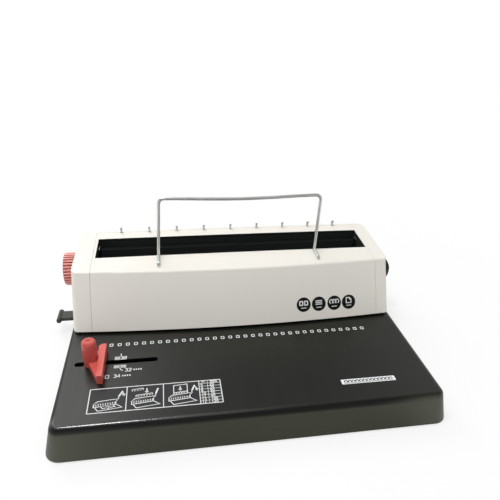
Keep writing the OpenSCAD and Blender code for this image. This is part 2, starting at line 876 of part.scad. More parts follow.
// Screw and washer that hold the hub on the shaft.
module hub_screw() {
  color("#c9cbcd") translate([body_w / 2 + hub_l - 3, lever_y, lever_z]) rotate([0, 90, 0]) difference() {
    union() {
      cylinder(r = shaft_r - 0.3, h = 4.2 + eps);
      translate([0, 0, 4.2]) cylinder(r = shaft_r + 2.5, h = 2);
    }
    translate([0, 0, 4.6]) cylinder(r = 2, h = 4, $fn = 6);
  }
}

// Beam that carries the row of pins.
module punch_beam() {
  color("#6f7276") difference() {
    block([-arm_in, punch_y - beam_d / 2, beam_z], [arm_in, punch_y + beam_d / 2, beam_z + beam_h]);
    for (s = [-1, 1]) post([s * spring_x(), punch_y, beam_z - 1], spring_r + 0.9, beam_h - 2);
  }
}

// Place of the return springs, in from the ends of the beam.
function spring_x() = arm_in - spring_inset;

// Arms that reach back from the beam to the cams and run on the posts.
module punch_arms() {
  color("#6f7276") for (s = [-1, 1]) difference() {
    along_x(s * arm_mid - arm_w / 2, arm_w) polygon([
      [punch_y - beam_d / 2, beam_z], [punch_y - 2, arm_z], [lever_y + 4, arm_z], [lever_y + 4, arm_top],
      [post_y + 6.5, arm_top], [post_y + 6.5, beam_z + beam_h - 4], [post_y + 2.5, beam_z + beam_h],
      [punch_y - beam_d / 2, beam_z + beam_h]
    ]);
    post([s * arm_mid, post_y, 0], post_r + shaft_play, big);
  }
}

// Channel that holds the heads of the pins against the beam.
module pin_retainer() {
  color("#8d9094") difference() {
    block([-row_half - 3, punch_y - beam_d / 2, retainer_z], [row_half + 3, punch_y + beam_d / 2, beam_z]);
    block([-row_half - 4, punch_y - pin_side / 2 - 1.2, retainer_z + retainer_t],
          [row_half + 4, punch_y + pin_side / 2 + 1.2, beam_z + 1]);
    pin_holes(sliver, retainer_z - 1, beam_z + 1);
  }
}

// Row of square pins with heads.
module punch_pins() {
  tip = table_z + 4;
  color("#d9dbdd") for (i = [0 : hole_count - 1]) union() {
    block([pin_x(i) - pin_side / 2, punch_y - pin_side / 2, tip],
          [pin_x(i) + pin_side / 2, punch_y + pin_side / 2, beam_z]);
    block([pin_x(i) - pin_side / 2 - 1, punch_y - pin_side / 2 - 1, beam_z - head_t],
          [pin_x(i) + pin_side / 2 + 1, punch_y + pin_side / 2 + 1, beam_z]);
  }
}

// Points of a coil of round wire, ring by ring.
function coil_ring(a, rise, n = 6) = [
  for (k = [0 : n - 1])
    let (r = spring_r + spring_wire_r * cos(360 * k / n))
    [r * cos(a), r * sin(a), rise + spring_wire_r * sin(360 * k / n)]
];

// One compression spring of a given length.
module coil(l) {
  steps = spring_turns * 8;
  rise = l - 2 * spring_wire_r - 0.2;
  pts = [for (j = [0 : steps]) each coil_ring(j * 45, spring_wire_r + 0.1 + rise * j / steps)];
  sides = [
    for (j = [0 : steps - 1], k = [0 : 5])
      let (a = j * 6 + k, b = j * 6 + (k + 1) % 6)
      each [[a, b, b + 6], [a, b + 6, a + 6]]
  ];
  cap0 = [for (k = [1 : 4]) [0, k + 1, k]];
  last = steps * 6;
  cap1 = [for (k = [1 : 4]) [last, last + k, last + k + 1]];
  echo(coil_gap = rise / spring_turns - 2 * spring_wire_r);
  polyhedron(pts, concat([for (f = sides) [f[0], f[2], f[1]]],
    [for (f = cap0) [f[0], f[2], f[1]]], [for (f = cap1) [f[0], f[2], f[1]]]));
}

// Springs that lift the beam again, standing on the stripper.
module return_springs() {
  color("#b5b8ba") for (s = [-1, 1])
    translate([s * spring_x(), punch_y, stripper_z]) coil(beam_z + beam_h - 3 - stripper_z);
}

// Bar that presses the wire shut.
module closing_bar() {
  color("#26272a") block([trough_x0 + 3, close_y, jaw_z], [trough_x1 - 3, close_y + close_t, jaw_z + jaw_h]);
}

// Arms under the floor: a riser to the bar, a run over the shaft and a foot before the cam.
module closing_arms() {
  low = lever_z + shaft_r + 2;
  top = floor_z - liner_t - 2.5;
  foot_y = lever_y - close_seat;
  color("#6f7276") for (s = [-1, 1]) {
    x = s * (close_cam_x + 10);
    w = close_cam_w;
    union() {
      block([x - w / 2, foot_y - 4.5, low], [x + w / 2, close_y + close_t, top]);
      block([x - w / 2, close_y, low], [x + w / 2, close_y + close_t, jaw_z]);
      block([min(x - w / 2, s * (close_cam_x + 3) - 4), foot_y - 4.5, lever_z - 3.5],
            [max(x + w / 2, s * (close_cam_x + 3) + 4), foot_y, top]);
    }
  }
}

// Ribbed red knob on the left-hand end.
module size_knob() {
  x0 = -body_w / 2 - 0.8 - knob_w;
  color("#d9574f") translate([x0, knob_y, knob_z]) rotate([0, 90, 0]) difference() {
    intersection() {
      linear_extrude(knob_w) union() {
        circle(r = knob_r - 1.8);
        for (i = [0 : knob_ribs - 1])
          rotate(360 * i / knob_ribs) translate([knob_r - 1.3, 0]) circle(r = 1.3, $fn = 24);
      }
      rotate_extrude() polygon([
        [0, 0], [knob_r - 1.2, 0], [knob_r + 0.3, 1.5], [knob_r + 0.3, knob_w], [0, knob_w]
      ]);
    }
    translate([0, 0, knob_w - 9]) cylinder(r = knob_shaft_r + sliver, h = 20);
    difference() {
      translate([0, 0, -1]) cylinder(r = knob_r - 6, h = 2.2);
      translate([-2, -knob_r, -2]) cube([4, 2 * knob_r, 5]);
    }
  }
}

// Stub shaft from the knob to the left frame.
module knob_shaft() {
  x0 = -body_w / 2 - 0.8 - 9;
  color("#c4c6c8") axle(x0, knob_y, knob_z, knob_shaft_r, frame_left - 0.3 - x0);
}

// Snail cam that sets the gap.
module size_cam() {
  low = knob_seat - contact_gap;
  open_a = 360 - knob_turn - 15;
  hollow = [for (i = [0 : 10]) turned([low, 0], open_a - (open_a + 20) * i / 10)];
  color("#d8d4c8") translate([0, knob_y, knob_z]) along_x(cam_x0(), size_cam_w) difference() {
    polygon(concat(involute([1, 0], low, knob_lift, knob_turn, 72), hollow));
    circle(r = knob_shaft_r + sliver);
  }
}

// Inner side of the snail cam, beside the yoke.
function cam_x0() = yoke_x1() - yoke_t - 1 - size_cam_w;

// Adjustable jaw in the trough, with a tongue through each frame.
module gap_bar() {
  y0 = gap_y1 - gap_t;
  color("#26272a") union() {
    block([trough_x0 + 1.5, y0, jaw_z], [trough_x1 - 1.5, gap_y1, jaw_z + jaw_h]);
    block([yoke_x1(), y0, tongue_z0], [trough_x0 + 2, gap_y1, tongue_z0 + tongue_h]);
    block([trough_x1 - 2, y0, tongue_z0], [frame_right + frame_t + 1, gap_y1, tongue_z0 + tongue_h]);
  }
}

function yoke_x1() = frame_left - frame_t - 2.5;

// Plate on the left tongue: slotted round the knob shaft, with a pad behind the cam.
module gap_yoke() {
  x1 = yoke_x1();
  x0 = x1 - yoke_t;
  pad = knob_y + knob_seat;
  color("#8d9094") difference() {
    union() {
      block([x0, gap_y1 - gap_t - 7, knob_z - 7], [x1, pad + 5, tongue_z0 + tongue_h + 1]);
      block([cam_x0() - 0.5, pad, knob_z - 7], [x0 + eps, pad + 5, knob_z + 6]);
    }
    for (d = [0, gap_travel]) axle(x0 - 1, knob_y - d, knob_z, knob_shaft_r + close_gap, x1 - x0 + 2);
    block([x0 - 1, knob_y - gap_travel, knob_z - knob_shaft_r - close_gap],
          [x1 + 1, knob_y, knob_z + knob_shaft_r + close_gap]);
  }
}

// Height of the tray pull.
function pull_z() = tray_z + tray_h - 6;

// Neck of the pull, let through the tray's end wall.
module pull_neck(x0, x1) {
  y = tray_y + tray_d * 0.6;
  block([x0, y - pull_w / 3, pull_z() - 2], [x1, y + pull_w / 3, pull_z() + 2]);
}

// Tray that catches the chips, open above.
module chip_tray() {
  x0 = -base_w / 2 + base_flare;
  color("#2b2c2e") difference() {
    union() {
      block([x0 + base_wall + 1, tray_y, tray_z], [tray_x1, tray_y + tray_d, tray_z + tray_h]);
      intersection() {
        base_form(0);
        block([-base_w, tray_y, tray_z], [x0 + base_wall + 2, tray_y + tray_d, tray_z + tray_h]);
      }
    }
    block([x0 + base_wall + 3, tray_y + tray_wall, tray_z + tray_wall],
          [tray_x1 - tray_wall, tray_y + tray_d - tray_wall, tray_z + big]);
    pull_neck(-base_w, x0 + base_wall + 4);
  }
}

// Pull of the tray: a flat neck and a round head across it.
module tray_pull() {
  x0 = -base_w / 2 + base_flare;
  y = tray_y + tray_d * 0.6;
  x = x0 - base_flare / 2 - pull_l;
  head_r = 3;
  round_r = 1.5;
  flat = pull_w / 2 - round_r;
  color("#4a4b4d") union() {
    pull_neck(x, x0 + base_wall + 3);
    translate([x, y, pull_z()]) rotate([90, 0, 0]) rotate_extrude() union() {
      polygon([
        [0, -pull_w / 2], [head_r - round_r, -pull_w / 2], [head_r, -flat], [head_r, flat],
        [head_r - round_r, pull_w / 2], [0, pull_w / 2]
      ]);
      for (s = [-1, 1]) translate([head_r - round_r, s * flat]) circle(r = round_r);
    }
  }
}

// Axis of the thumb knob.
function thumb_axis() = [-slot_x - slot_l / 2 + thumb_x, -slot_y];

// Red side stop: a straight fence, a boss for the knob and a web between them.
module side_stop() {
  p = thumb_axis();
  fx = p[0] + thumb_r + 6.9;
  fy = p[1] + 18.5;
  plate_h = fence_h - 3;
  boss = thumb_r - 0.5;
  color("#d4554c") difference() {
    union() {
      translate([0, 0, table_z]) linear_extrude(fence_h) polygon([
        [fx, fy], [fx - 4.4, fy], [fx - 7.3, fy - 3], [fx - 5.2, fy - fence_l], [fx, fy - fence_l]
      ]);
      translate([0, 0, table_z]) linear_extrude(plate_h) union() {
        polygon([
          [p[0], p[1] + boss * 0.98], [fx - 3, fy - 4], [fx - 3, fy - fence_l], [fx - 5.2, fy - fence_l],
          [p[0] - boss * 0.2, p[1] - boss * 0.95]
        ]);
        translate(p) circle(r = boss);
      }
      translate([p[0], p[1], skin_z + 0.2]) linear_extrude(base_wall)
        slot_plan(2 * boss - 2, slot_w - 2 * close_gap);
    }
    post([p[0], p[1], 0], 2.5 + close_gap, big);
  }
}

// Clamp plate under the table.
module stop_nut() {
  p = thumb_axis();
  color("#8d9094") difference() {
    block([p[0] - 8, p[1] - 8, skin_z - 3.2], [p[0] + 8, p[1] + 8, skin_z - 0.2]);
    post([p[0], p[1], 0], 2.5 + close_gap, big);
  }
}

// Thumb knob with its stud: ribbed below, smooth and domed above.
module stop_knob() {
  p = thumb_axis();
  z0 = table_z + fence_h - 3 + 0.2;
  core_r = thumb_r - 0.35;
  dome_r = core_r * 0.48;
  color("#d4554c") translate([p[0], p[1], z0]) union() {
    rotate_extrude() union() {
      polygon([[0, 0], [core_r, 0], [core_r, thumb_h - dome_r], [core_r - dome_r, thumb_h], [0, thumb_h]]);
      translate([core_r - dome_r, thumb_h - dome_r]) circle(r = dome_r);
    }
    for (i = [0 : 23])
      rotate(15 * i) translate([thumb_r - 0.8, 0, 0]) cylinder(r = 0.8, h = thumb_h * 0.62, $fn = 16);
    translate([0, 0, skin_z - 6 - z0]) cylinder(r = 2.5, h = z0 - skin_z + 6 + eps);
  }
}

// Where the ends of the bail plug into the top.
function bail_front() = trough_y - 3.8 - bail_foot;

// Quarter bend of the bail wire in the plane of the two axes, about a point.
module bend(r) {
  rotate_extrude(angle = 90) translate([r, 0]) circle(r = bail_wire_r, $fn = 48);
}

// Wire bail: plugged ends, feet on the top, legs and a cross bar.
module bail() {
  heel_r = 3;
  top_r = 6;
  y0 = bail_front();
  y1 = y0 + bail_foot;
  plug_z = tidy(top_z(0, y0) - 8);
  foot_z = tidy(top_z(0, y1 - heel_r) + bail_wire_r + close_gap);
  bar_z = tidy(table_z + bail_h - bail_wire_r);
  half = bail_span / 2;
  color("#b9bbbd") translate([bail_x, 0, 0]) union() {
    for (s = [-1, 1]) translate([s * half, 0, 0]) {
      post([0, y0, plug_z], bail_wire_r, foot_z - heel_r - plug_z, $fn = 48);
      translate([0, y0 + heel_r, foot_z - heel_r]) rotate([90, 0, 90]) rotate([0, 0, 90]) bend(heel_r);
      translate([0, y0 + heel_r, foot_z]) rotate([-90, 0, 0])
        cylinder(r = bail_wire_r, h = bail_foot - 2 * heel_r, $fn = 48);
      translate([0, y1 - heel_r, foot_z + heel_r]) rotate([90, 0, 90]) rotate([0, 0, 270]) bend(heel_r);
      post([0, y1, foot_z + heel_r], bail_wire_r, bar_z - top_r - foot_z - heel_r, $fn = 48);
    }
    translate([half - top_r, y1, bar_z - top_r]) rotate([90, 0, 0]) bend(top_r);
    translate([top_r - half, y1, bar_z - top_r]) rotate([90, 0, 0]) rotate([0, 0, 90]) bend(top_r);
    axle(top_r - half, y1, bar_z, bail_wire_r, bail_span - 2 * top_r, $fn = 48);
  }
}

base_shell();
bottom_plate();
rubber_feet();
bottom_screws();
tray_runners();
die_plate();
back_stop();
stripper_plate();
stripper_screws();
guide_posts();
side_frame_left();
side_frame_right();
frame_screws();
shaft_bushes();
trough_liner();
trough_screws();
front_shell();
end_cap_left();
end_cap_right();
rear_cover();
hook_strip();
cover_screws();
lever_shaft();
punch_cams();
closing_cams();
lever_hub();
lever_rod();
lever_grip();
hub_screw();
punch_beam();
punch_arms();
pin_retainer();
punch_pins();
return_springs();
closing_bar();
closing_arms();
size_knob();
knob_shaft();
size_cam();
gap_bar();
gap_yoke();
chip_tray();
tray_pull();
side_stop();
stop_nut();
stop_knob();
bail();
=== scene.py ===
# %% [markdown]
# # A wire binding machine
# The machine punches a row of square holes along the edge of a stack of paper, and then
# closes a comb of wire loops through them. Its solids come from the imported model. This
# lesson gives each of them a finish, bends the wire bail, winds the return springs and adds
# the thin printed marks.

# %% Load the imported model
import json
import math

import bpy
import numpy as np
from mathutils import Matrix, Vector

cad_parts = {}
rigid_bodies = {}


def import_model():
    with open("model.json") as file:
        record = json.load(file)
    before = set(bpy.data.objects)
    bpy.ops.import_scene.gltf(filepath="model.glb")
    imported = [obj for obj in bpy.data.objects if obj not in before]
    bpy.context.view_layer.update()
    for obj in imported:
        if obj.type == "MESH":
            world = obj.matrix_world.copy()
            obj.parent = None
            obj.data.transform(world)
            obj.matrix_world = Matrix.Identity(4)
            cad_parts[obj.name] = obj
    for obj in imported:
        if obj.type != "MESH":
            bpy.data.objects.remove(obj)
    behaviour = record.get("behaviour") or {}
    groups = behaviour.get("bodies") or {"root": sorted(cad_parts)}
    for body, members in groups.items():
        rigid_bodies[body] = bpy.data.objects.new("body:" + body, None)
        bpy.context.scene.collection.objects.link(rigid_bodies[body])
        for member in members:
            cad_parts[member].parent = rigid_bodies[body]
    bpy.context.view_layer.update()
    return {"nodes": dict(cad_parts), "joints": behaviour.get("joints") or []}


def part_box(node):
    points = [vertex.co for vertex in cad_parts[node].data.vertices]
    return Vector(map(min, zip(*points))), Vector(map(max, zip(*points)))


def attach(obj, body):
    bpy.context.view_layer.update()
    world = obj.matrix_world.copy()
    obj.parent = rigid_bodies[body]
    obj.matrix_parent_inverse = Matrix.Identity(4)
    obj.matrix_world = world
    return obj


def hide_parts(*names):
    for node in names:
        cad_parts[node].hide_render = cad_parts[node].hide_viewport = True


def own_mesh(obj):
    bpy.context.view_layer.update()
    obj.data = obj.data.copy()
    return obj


for leftover in list(bpy.data.objects):
    bpy.data.objects.remove(leftover)
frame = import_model()
scene = bpy.context.scene
MM = 0.001


def placed(name, data):
    """A new object of the scene, with its mesh, camera or lamp."""
    made = bpy.data.objects.new(name, data)
    scene.collection.objects.link(made)
    return made


# %% [markdown]
# ## Camera
# The view was found by matching known points of the machine, such as the ends of the row
# of marks and the corners of the base, with their places in the picture. A camera could be
# aimed with a constraint, but a plain matrix keeps exactly the fitted direction: its
# columns are the image's right, the image's up, and the way back to the viewer.

# %% Camera
SENSOR = 36.0
FOCAL_PIXELS = 498.2
IMAGE_PIXELS = 500.0
camera_place = Vector((-74.769, -457.274, 369.275)) * MM
view_right = Vector((0.98638, -0.16035, 0.03650))
view_up = Vector((0.04089, 0.45410, 0.89001))
view_back = Vector((-0.15929, -0.87640, 0.45448))
camera_data = bpy.data.cameras.new("camera")
camera_data.sensor_width = SENSOR
camera_data.lens = SENSOR * FOCAL_PIXELS / IMAGE_PIXELS
camera_data.clip_start = 0.01
camera = placed("camera", camera_data)
turn = Matrix((view_right, view_up, view_back)).transposed().to_4x4()
camera.matrix_world = Matrix.Translation(camera_place) @ turn
scene.camera = camera
print("lens", round(camera_data.lens, 2), "mm")

# %% [markdown]
# ## Shader maths as plain expressions
# A finish is easier to read as a formula than as a web of links. One small class wraps an
# output of a node, so that `1 - mask` or `0.2 * grain + 0.4` adds the Math nodes by itself.
# A second class holds a tree of nodes and adds every other kind: the type comes first, then
# the settings, and then the values or links of the sockets. A finish is such a tree with a
# material and its one shader, and its gloss is how strongly the bare surface mirrors.

# %% Values and finishes
class Value:
    """One output of a node. Arithmetic on it adds Math nodes to the same tree."""

    def __init__(self, owner, socket):
        self.owner = owner
        self.socket = socket

    def math(self, operation, *operands):
        """A Math node with its operation, and one or two values or numbers."""
        return self.owner.node("Math", {"operation": operation}, dict(enumerate(operands)))

    def __add__(self, other):
        return self.math("ADD", self, other)

    def __sub__(self, other):
        return self.math("SUBTRACT", self, other)

    def __rsub__(self, other):
        return self.math("SUBTRACT", other, self)

    def __mul__(self, other):
        return self.math("MULTIPLY", self, other)

    def __gt__(self, other):
        return self.math("GREATER_THAN", self, other)

    def __lt__(self, other):
        return self.math("LESS_THAN", self, other)

    def __abs__(self):
        return self.math("ABSOLUTE", self)

    __radd__ = __add__
    __rmul__ = __mul__


class Nodes:
    """The nodes of one material, or of the sky."""

    def __init__(self, tree):
        self.tree = tree

    def node(self, kind, settings=None, sockets=None, out=0):
        """Any node: its type, its settings, its sockets' values or links, and one output."""
        made = self.tree.nodes.new("ShaderNode" + kind)
        for name, value in (settings or {}).items():
            setattr(made, name, value)
        for key, value in (sockets or {}).items():
            self.join(made.inputs[key], value)
        return Value(self, made.outputs[out])

    def join(self, socket, value):
        """Links a value to a socket, or sets a constant on it."""
        if isinstance(value, Value):
            self.tree.links.new(value.socket, socket)
        else:
            socket.default_value = value


class Finish(Nodes):
    """A material in the making: one shader, fed with constants, values and links."""

    def __init__(self, name, gloss=0.5, constants=None):
        self.material = bpy.data.materials.new(name)
        self.material.use_nodes = True
        super().__init__(self.material.node_tree)
        self.shader = self.tree.nodes["Principled BSDF"]
        self.where = self.node("TexCoord", out="Object")
        self.feed("Specular IOR Level", gloss)
        for key, value in (constants or {}).items():
            self.feed(key, value)

    def feed(self, key, value):
        """Sets or links one socket of the shader."""
        self.join(self.shader.inputs[key], value)


def tone(red, green, blue):
    """A colour as a screen shows it, 0 to 255, turned into the linear light of a shader."""
    share = np.array((red, green, blue)) / 255.0
    linear = np.where(share <= 0.04045, share / 12.92, ((share + 0.055) / 1.055) ** 2.4)
    return (*map(float, linear), 1.0)


print("white cover", tone(229, 226, 219))

# %% [markdown]
# ## Shared ingredients
# All finishes are made of a few things: cloudy noise at a real size in metres, noise drawn
# out along one direction for brushed or drawn metal, a soft step between two heights, and
# edges that look slightly rounded. The rounding comes from the Bevel node, which bends the
# normal near an edge and leaves the solid as it is.

# %% Noise, steps, bumps and soft edges
def cloud(finish, size, detail=2.0):
    """Noise between 0 and 1 whose patches are about `size` metres across."""
    sockets = {"Vector": finish.where, "Scale": 1.0 / size, "Detail": detail}
    return finish.node("TexNoise", None, sockets, "Fac")


def streaks(finish, size, stretch):
    """Noise of `size` metres, drawn out by dividing each axis by its stretch."""
    scale = tuple(1.0 / (size * s) for s in stretch)
    drawn = finish.node("Mapping", None, {"Vector": finish.where, "Scale": scale})
    return finish.node("TexNoise", None, {"Vector": drawn, "Scale": 1.0, "Detail": 3.0}, "Fac")


def step(finish, value, low, high):
    """0 below `low`, 1 above `high`, and a smooth S between them."""
    settings = {"interpolation_type": "SMOOTHSTEP"}
    sockets = {"Value": value, "From Min": low, "From Max": high, "To Min": 0.0, "To Max": 1.0}
    return finish.node("MapRange", settings, sockets)


def mixed(finish, share, first, second):
    """Colour that goes from `first` to `second` as the share goes from 0 to 1."""
    return finish.node("Mix", {"data_type": "RGBA"}, {0: share, 6: first, 7: second}, 2)


def relief(finish, height, depth, edge):
    """Feeds the normal: edges rounded by `edge` metres, with a height map `depth` deep."""
    soft = finish.node("Bevel", {"samples": 4}, {"Radius": edge})
    sockets = {"Height": height, "Distance": depth, "Strength": 1.0, "Normal": soft}
    finish.feed("Normal", finish.node("Bump", None, sockets))


def parts(nodes, vector, names="XYZ"):
    """Coordinates of a vector, one for each letter of `names`."""
    return [nodes.node("SeparateXYZ", None, {0: vector}, name) for name in names]


def axis(finish, name):
    """One coordinate of the point on the surface, in metres."""
    return parts(finish, finish.where, name)[0]


print("ingredients ready")

# %% [markdown]
# ## The base
# The base is one large moulding in near-black plastic with an olive cast. Most of what is
# seen on it isn't its own colour but gloss: the table mirrors the room behind, blurred by a
# fine grain, and the walls mirror the floor. The table gets a very dark tone and the walls a
# paler one, which is painted light: the walls are painted brighter lit than the table. The
# grain and the rubbed streaks where paper slides are put into roughness and bump. The rounded
# shoulder has a painted shade, darker still, with a polished rim along the left of the front,
# and the ends of the walls have a painted sheen that makes them paler. A texture could be
# painted on each part, but the height of a point already tells table, shoulder and walls
# apart. Heights and places are in metres.

# %% Base finish
WALL_TOP = (0.0259, 0.0306)
SHOULDER_TOP = (0.0326, 0.0334)
RIM_FROM = (0.0310, 0.0328)
RIM_TO = (0.03340, 0.03350)
FRONT_EDGE = (0.110, 0.120)
LEFT_PART = (-0.040, 0.040)
RIGHT_END = (0.112, 0.165)
WALL_ENDS = (0.135, 0.190)
CLIMB_TOP = (0.0312, 0.0335)
CLIMB = 0.6


def base_finish():
    """Dark plastic whose tone changes with the height over the desk, with painted light: walls
    paler than the table, a painted shade on the shoulder and a painted sheen at the wall ends.

    Each mask is a soft step, or a difference or product of two. Towards the right end the
    painted shade of the shoulder fades out, and the walls' paler painted tone climbs part of
    the way over it.
    """
    f = Finish("base_moulding", 0.38, {"Coat Roughness": 0.12})
    side, depth, height = parts(f, f.where)
    right = step(f, side, *RIGHT_END)
    table = step(f, height, *WALL_TOP)
    # shoulder: where the painted shade lies, fading out towards the right end.
    shoulder = (table - step(f, height, *SHOULDER_TOP)) * (1 - right)
    front = step(f, -1 * depth, *FRONT_EDGE) * (1 - step(f, side, *LEFT_PART))
    rim = (step(f, height, *RIM_FROM) - step(f, height, *RIM_TO)) * front
    ends = step(f, abs(side), *WALL_ENDS)
    # The climb lifts the walls' paler painted tone over the shoulder towards the right end.
    top = table + CLIMB * right * (step(f, height, *CLIMB_TOP) - table)
    mottle = cloud(f, 0.060, 4.0)
    fine = cloud(f, 0.0009)
    smear = streaks(f, 0.012, (1.0, 5.0, 1.0))
    # The table's dark tone and the walls' pale tone are painted light: the walls are painted
    # brighter than the table.
    dark = mixed(f, mottle, tone(18, 19, 14), tone(24, 25, 19))
    pale = mixed(f, mottle, tone(61, 62, 49), tone(68, 69, 55))
    # Towards both ends the walls get a paler tone, a painted sheen.
    wear_and_painted_sheen = mixed(f, mottle, tone(73, 74, 60), tone(80, 81, 66))
    # Painted light by height: pale walls, the painted sheen at the wall ends, and the dark table
    # above.
    painted_light_tones = mixed(f, top, mixed(f, ends, pale, wear_and_painted_sheen), dark)
    # The shoulder's near-black tone is a painted shade: the dark reflection of the room in front,
    # painted in.
    f.feed("Base Color", mixed(f, shoulder, painted_light_tones, tone(9, 9, 7)))
    grain = 0.10 * (smear - 0.5) + 0.10 * (fine - 0.5)
    f.feed("Roughness", 0.44 - 0.08 * table + 0.16 * shoulder - 0.12 * rim + grain)
    f.feed("Coat Weight", rim)
    relief(f, fine, 5e-5, 0.0004)
    return f.material


print(base_finish.__name__)

# %% [markdown]
# ## The white covers
# The covers are warm white moulded plastic, satin rather than shiny. Real ones are never
# one flat colour: the plastic is a little yellower in broad patches, and hands leave faint
# dull places. The spark-eroded mould gives a grain of about half a millimetre. Round the
# trough the liner's black comes up to the rim, so the upright faces of the cut-out are black
# too. A strip could be added there, but where a face lies and which way it points is enough.

# %% Cover finish
UPRIGHT = 0.9
CUT_REAR = 0.100
CUT_FROM = 0.058
CUT_TO = 0.105
CUT_HALF = 0.166


def trough_lip(finish):
    """1 on the upright faces of the trough's cut-out: the rear one, and the one at each end.

    A face is upright where its normal lies along Y or X, and in the cut-out by its place.
    """
    facing = finish.node("TexCoord", out="Normal")
    turned_x, turned_y = parts(finish, facing, "XY")
    x, y = parts(finish, finish.where, "XY")
    rear = (turned_y < -UPRIGHT) * (y > CUT_REAR)
    inside = (abs(x) < CUT_HALF) * (y > CUT_FROM) * (y < CUT_TO)
    ends = (abs(turned_x) > UPRIGHT) * inside
    return rear.math("MAXIMUM", rear, ends)


def cover_finish():
    """White that drifts between two tones, dulled in patches, with a black lip."""
    f = Finish("cover_moulding", 0.38)
    patches = cloud(f, 0.110, 3.0)
    hands = cloud(f, 0.035, 4.0)
    fine = cloud(f, 0.0006)
    white = mixed(f, patches, tone(229, 226, 219), tone(236, 232, 222))
    f.feed("Base Color", mixed(f, trough_lip(f), white, tone(30, 33, 32)))
    f.feed("Roughness", 0.40 + 0.18 * (hands - 0.5) + 0.06 * (fine - 0.5))
    relief(f, fine, 2e-5, 0.0005)
    return f.material


print(cover_finish.__name__)

# %% [markdown]
# ## Coloured and black plastics
# The side stop is coral-red plastic, the hub and the grip are black with a coarse grip
# grain, and the liner of the trough and the chip tray are black and duller. They differ only
# in colour, grain and gloss, so one recipe takes these as numbers. The feet are rubber, which
# shows dust where plastic shows gloss.

# %% Moulded plastics and rubber
PLASTIC_EDGE = 0.0004


def plastic(name, first, second, rough, grain_size, grain_depth, gloss):
    """Plastic whose colour wanders between two tones, with a grain of a real size."""
    f = Finish(name, gloss)
    patches = cloud(f, 0.030, 3.0)
    # Here this noise is real wear and feeds only the roughness.
    wear_and_painted_sheen = cloud(f, 0.009, 4.0)
    fine = cloud(f, grain_size)
    f.feed("Base Color", mixed(f, patches, tone(*first), tone(*second)))
    f.feed("Roughness", rough + 0.16 * (wear_and_painted_sheen - 0.5) + 0.08 * (fine - 0.5))
    relief(f, fine, grain_depth, PLASTIC_EDGE)
    return f.material


def rubber_finish():
    """Soft black rubber: dull, dusty, with a fine open grain."""
    f = Finish("foot_rubber_moulded", 0.2)
    dust = cloud(f, 0.006, 5.0)
    fine = cloud(f, 0.0005)
    f.feed("Base Color", mixed(f, dust, tone(26, 26, 26), tone(46, 45, 43)))
    f.feed("Roughness", 0.78 + 0.16 * (dust - 0.5))
    relief(f, fine, 6e-5, 0.0006)
    return f.material


print(plastic.__name__, rubber_finish.__name__)

# %% [markdown]
# ## The two red knobs
# The size knob has a painted highlight on the crests of its ribs and a painted shade in the
# grooves. The thumb knob has small beads in rows on its ribs, with a painted highlight on
# each bead and a painted shade between them. Each bead could be modelled, but the ribs are in
# the solids already, so the distance from the knob's axis, or the angle round it and the
# height, do the rest. The joint that a knob turns on says where its axis is.

# %% Knob finishes
RIB_HEIGHT = (0.0174, 0.0188)
BEAD_COLUMNS = 24
BEAD_ROW = 0.0024
pivots = {joint["name"]: joint.get("pos_m") for joint in frame["joints"]}


def spoke_from(finish, pivot, keep):
    """Vector to the surface from an axis through `pivot`. `keep` is 0 along it and else 1."""
    moved = tuple(-place * kept for place, kept in zip(pivot, keep))
    sockets = {"Vector": finish.where, "Location": moved, "Scale": keep}
    return finish.node("Mapping", None, sockets)


def ribbed_red():
    """The size knob: a painted shade at the radius of the grooves, a painted highlight at that of
    the crests.
    """
    f = Finish("knob_red", 0.6)
    patches = cloud(f, 0.030, 3.0)
    fine = cloud(f, 0.0007)
    spoke = spoke_from(f, pivots["size_turn"], (0.0, 1.0, 1.0))
    radius = f.node("VectorMath", {"operation": "LENGTH"}, {0: spoke}, "Value")
    crest = step(f, radius, *RIB_HEIGHT)
    wear_and_painted_sheen = mixed(f, patches, tone(230, 146, 137), tone(236, 155, 145))
    # Painted shade in the grooves, and a painted highlight on the crests of the ribs.
    f.feed("Base Color", mixed(f, crest, tone(158, 70, 66), wear_and_painted_sheen))
    f.feed("Roughness", 0.46 - 0.18 * crest + 0.12 * (patches - 0.5))
    relief(f, fine, 3e-5, 0.0003)
    return f.material


def beaded_red():
    """The thumb knob: columns of beads in even rows, each with a painted highlight, and a painted
    shade of darker red between them.

    A bead is the product of two raised cosines, one of the angle and one of the height.
    """
    f = Finish("thumb_red", 0.5)
    patches = cloud(f, 0.030, 3.0)
    spoke = spoke_from(f, pivots["clamp_turn"], (1.0, 1.0, 0.0))
    east, north = parts(f, spoke, "XY")
    around = BEAD_COLUMNS * east.math("ARCTAN2", north, east)
    level = 2 * math.pi / BEAD_ROW * axis(f, "Z")
    column = 0.5 + 0.5 * around.math("COSINE", around)
    row = 0.5 + 0.5 * level.math("COSINE", level)
    bead = column * row
    crown = mixed(f, patches, tone(226, 104, 95), tone(233, 113, 103))
    # Painted highlight on the bead crowns, and a painted shade of darker red between them.
    f.feed("Base Color", mixed(f, step(f, bead, 0.05, 0.7), tone(200, 78, 71), crown))
    f.feed("Roughness", 0.40 - 0.12 * bead + 0.12 * (patches - 0.5))
    relief(f, bead, 3e-4, 0.0003)
    return f.material


print("size knob turns about", pivots["size_turn"])

# %% [markdown]
# ## The bars
# The wire is pressed shut between two blacked bars. Their faces are painted a lighter grey,
# painted light that lifts the shade falling on them in the trough, and a thin line at the
# very top, where light falls, is painted black. At this size only a change of tone is seen,
# so a step in height gives it.

# %% Finish of the bars
BLACK_LINE = 0.0010
BLACK_EDGE = 0.0002


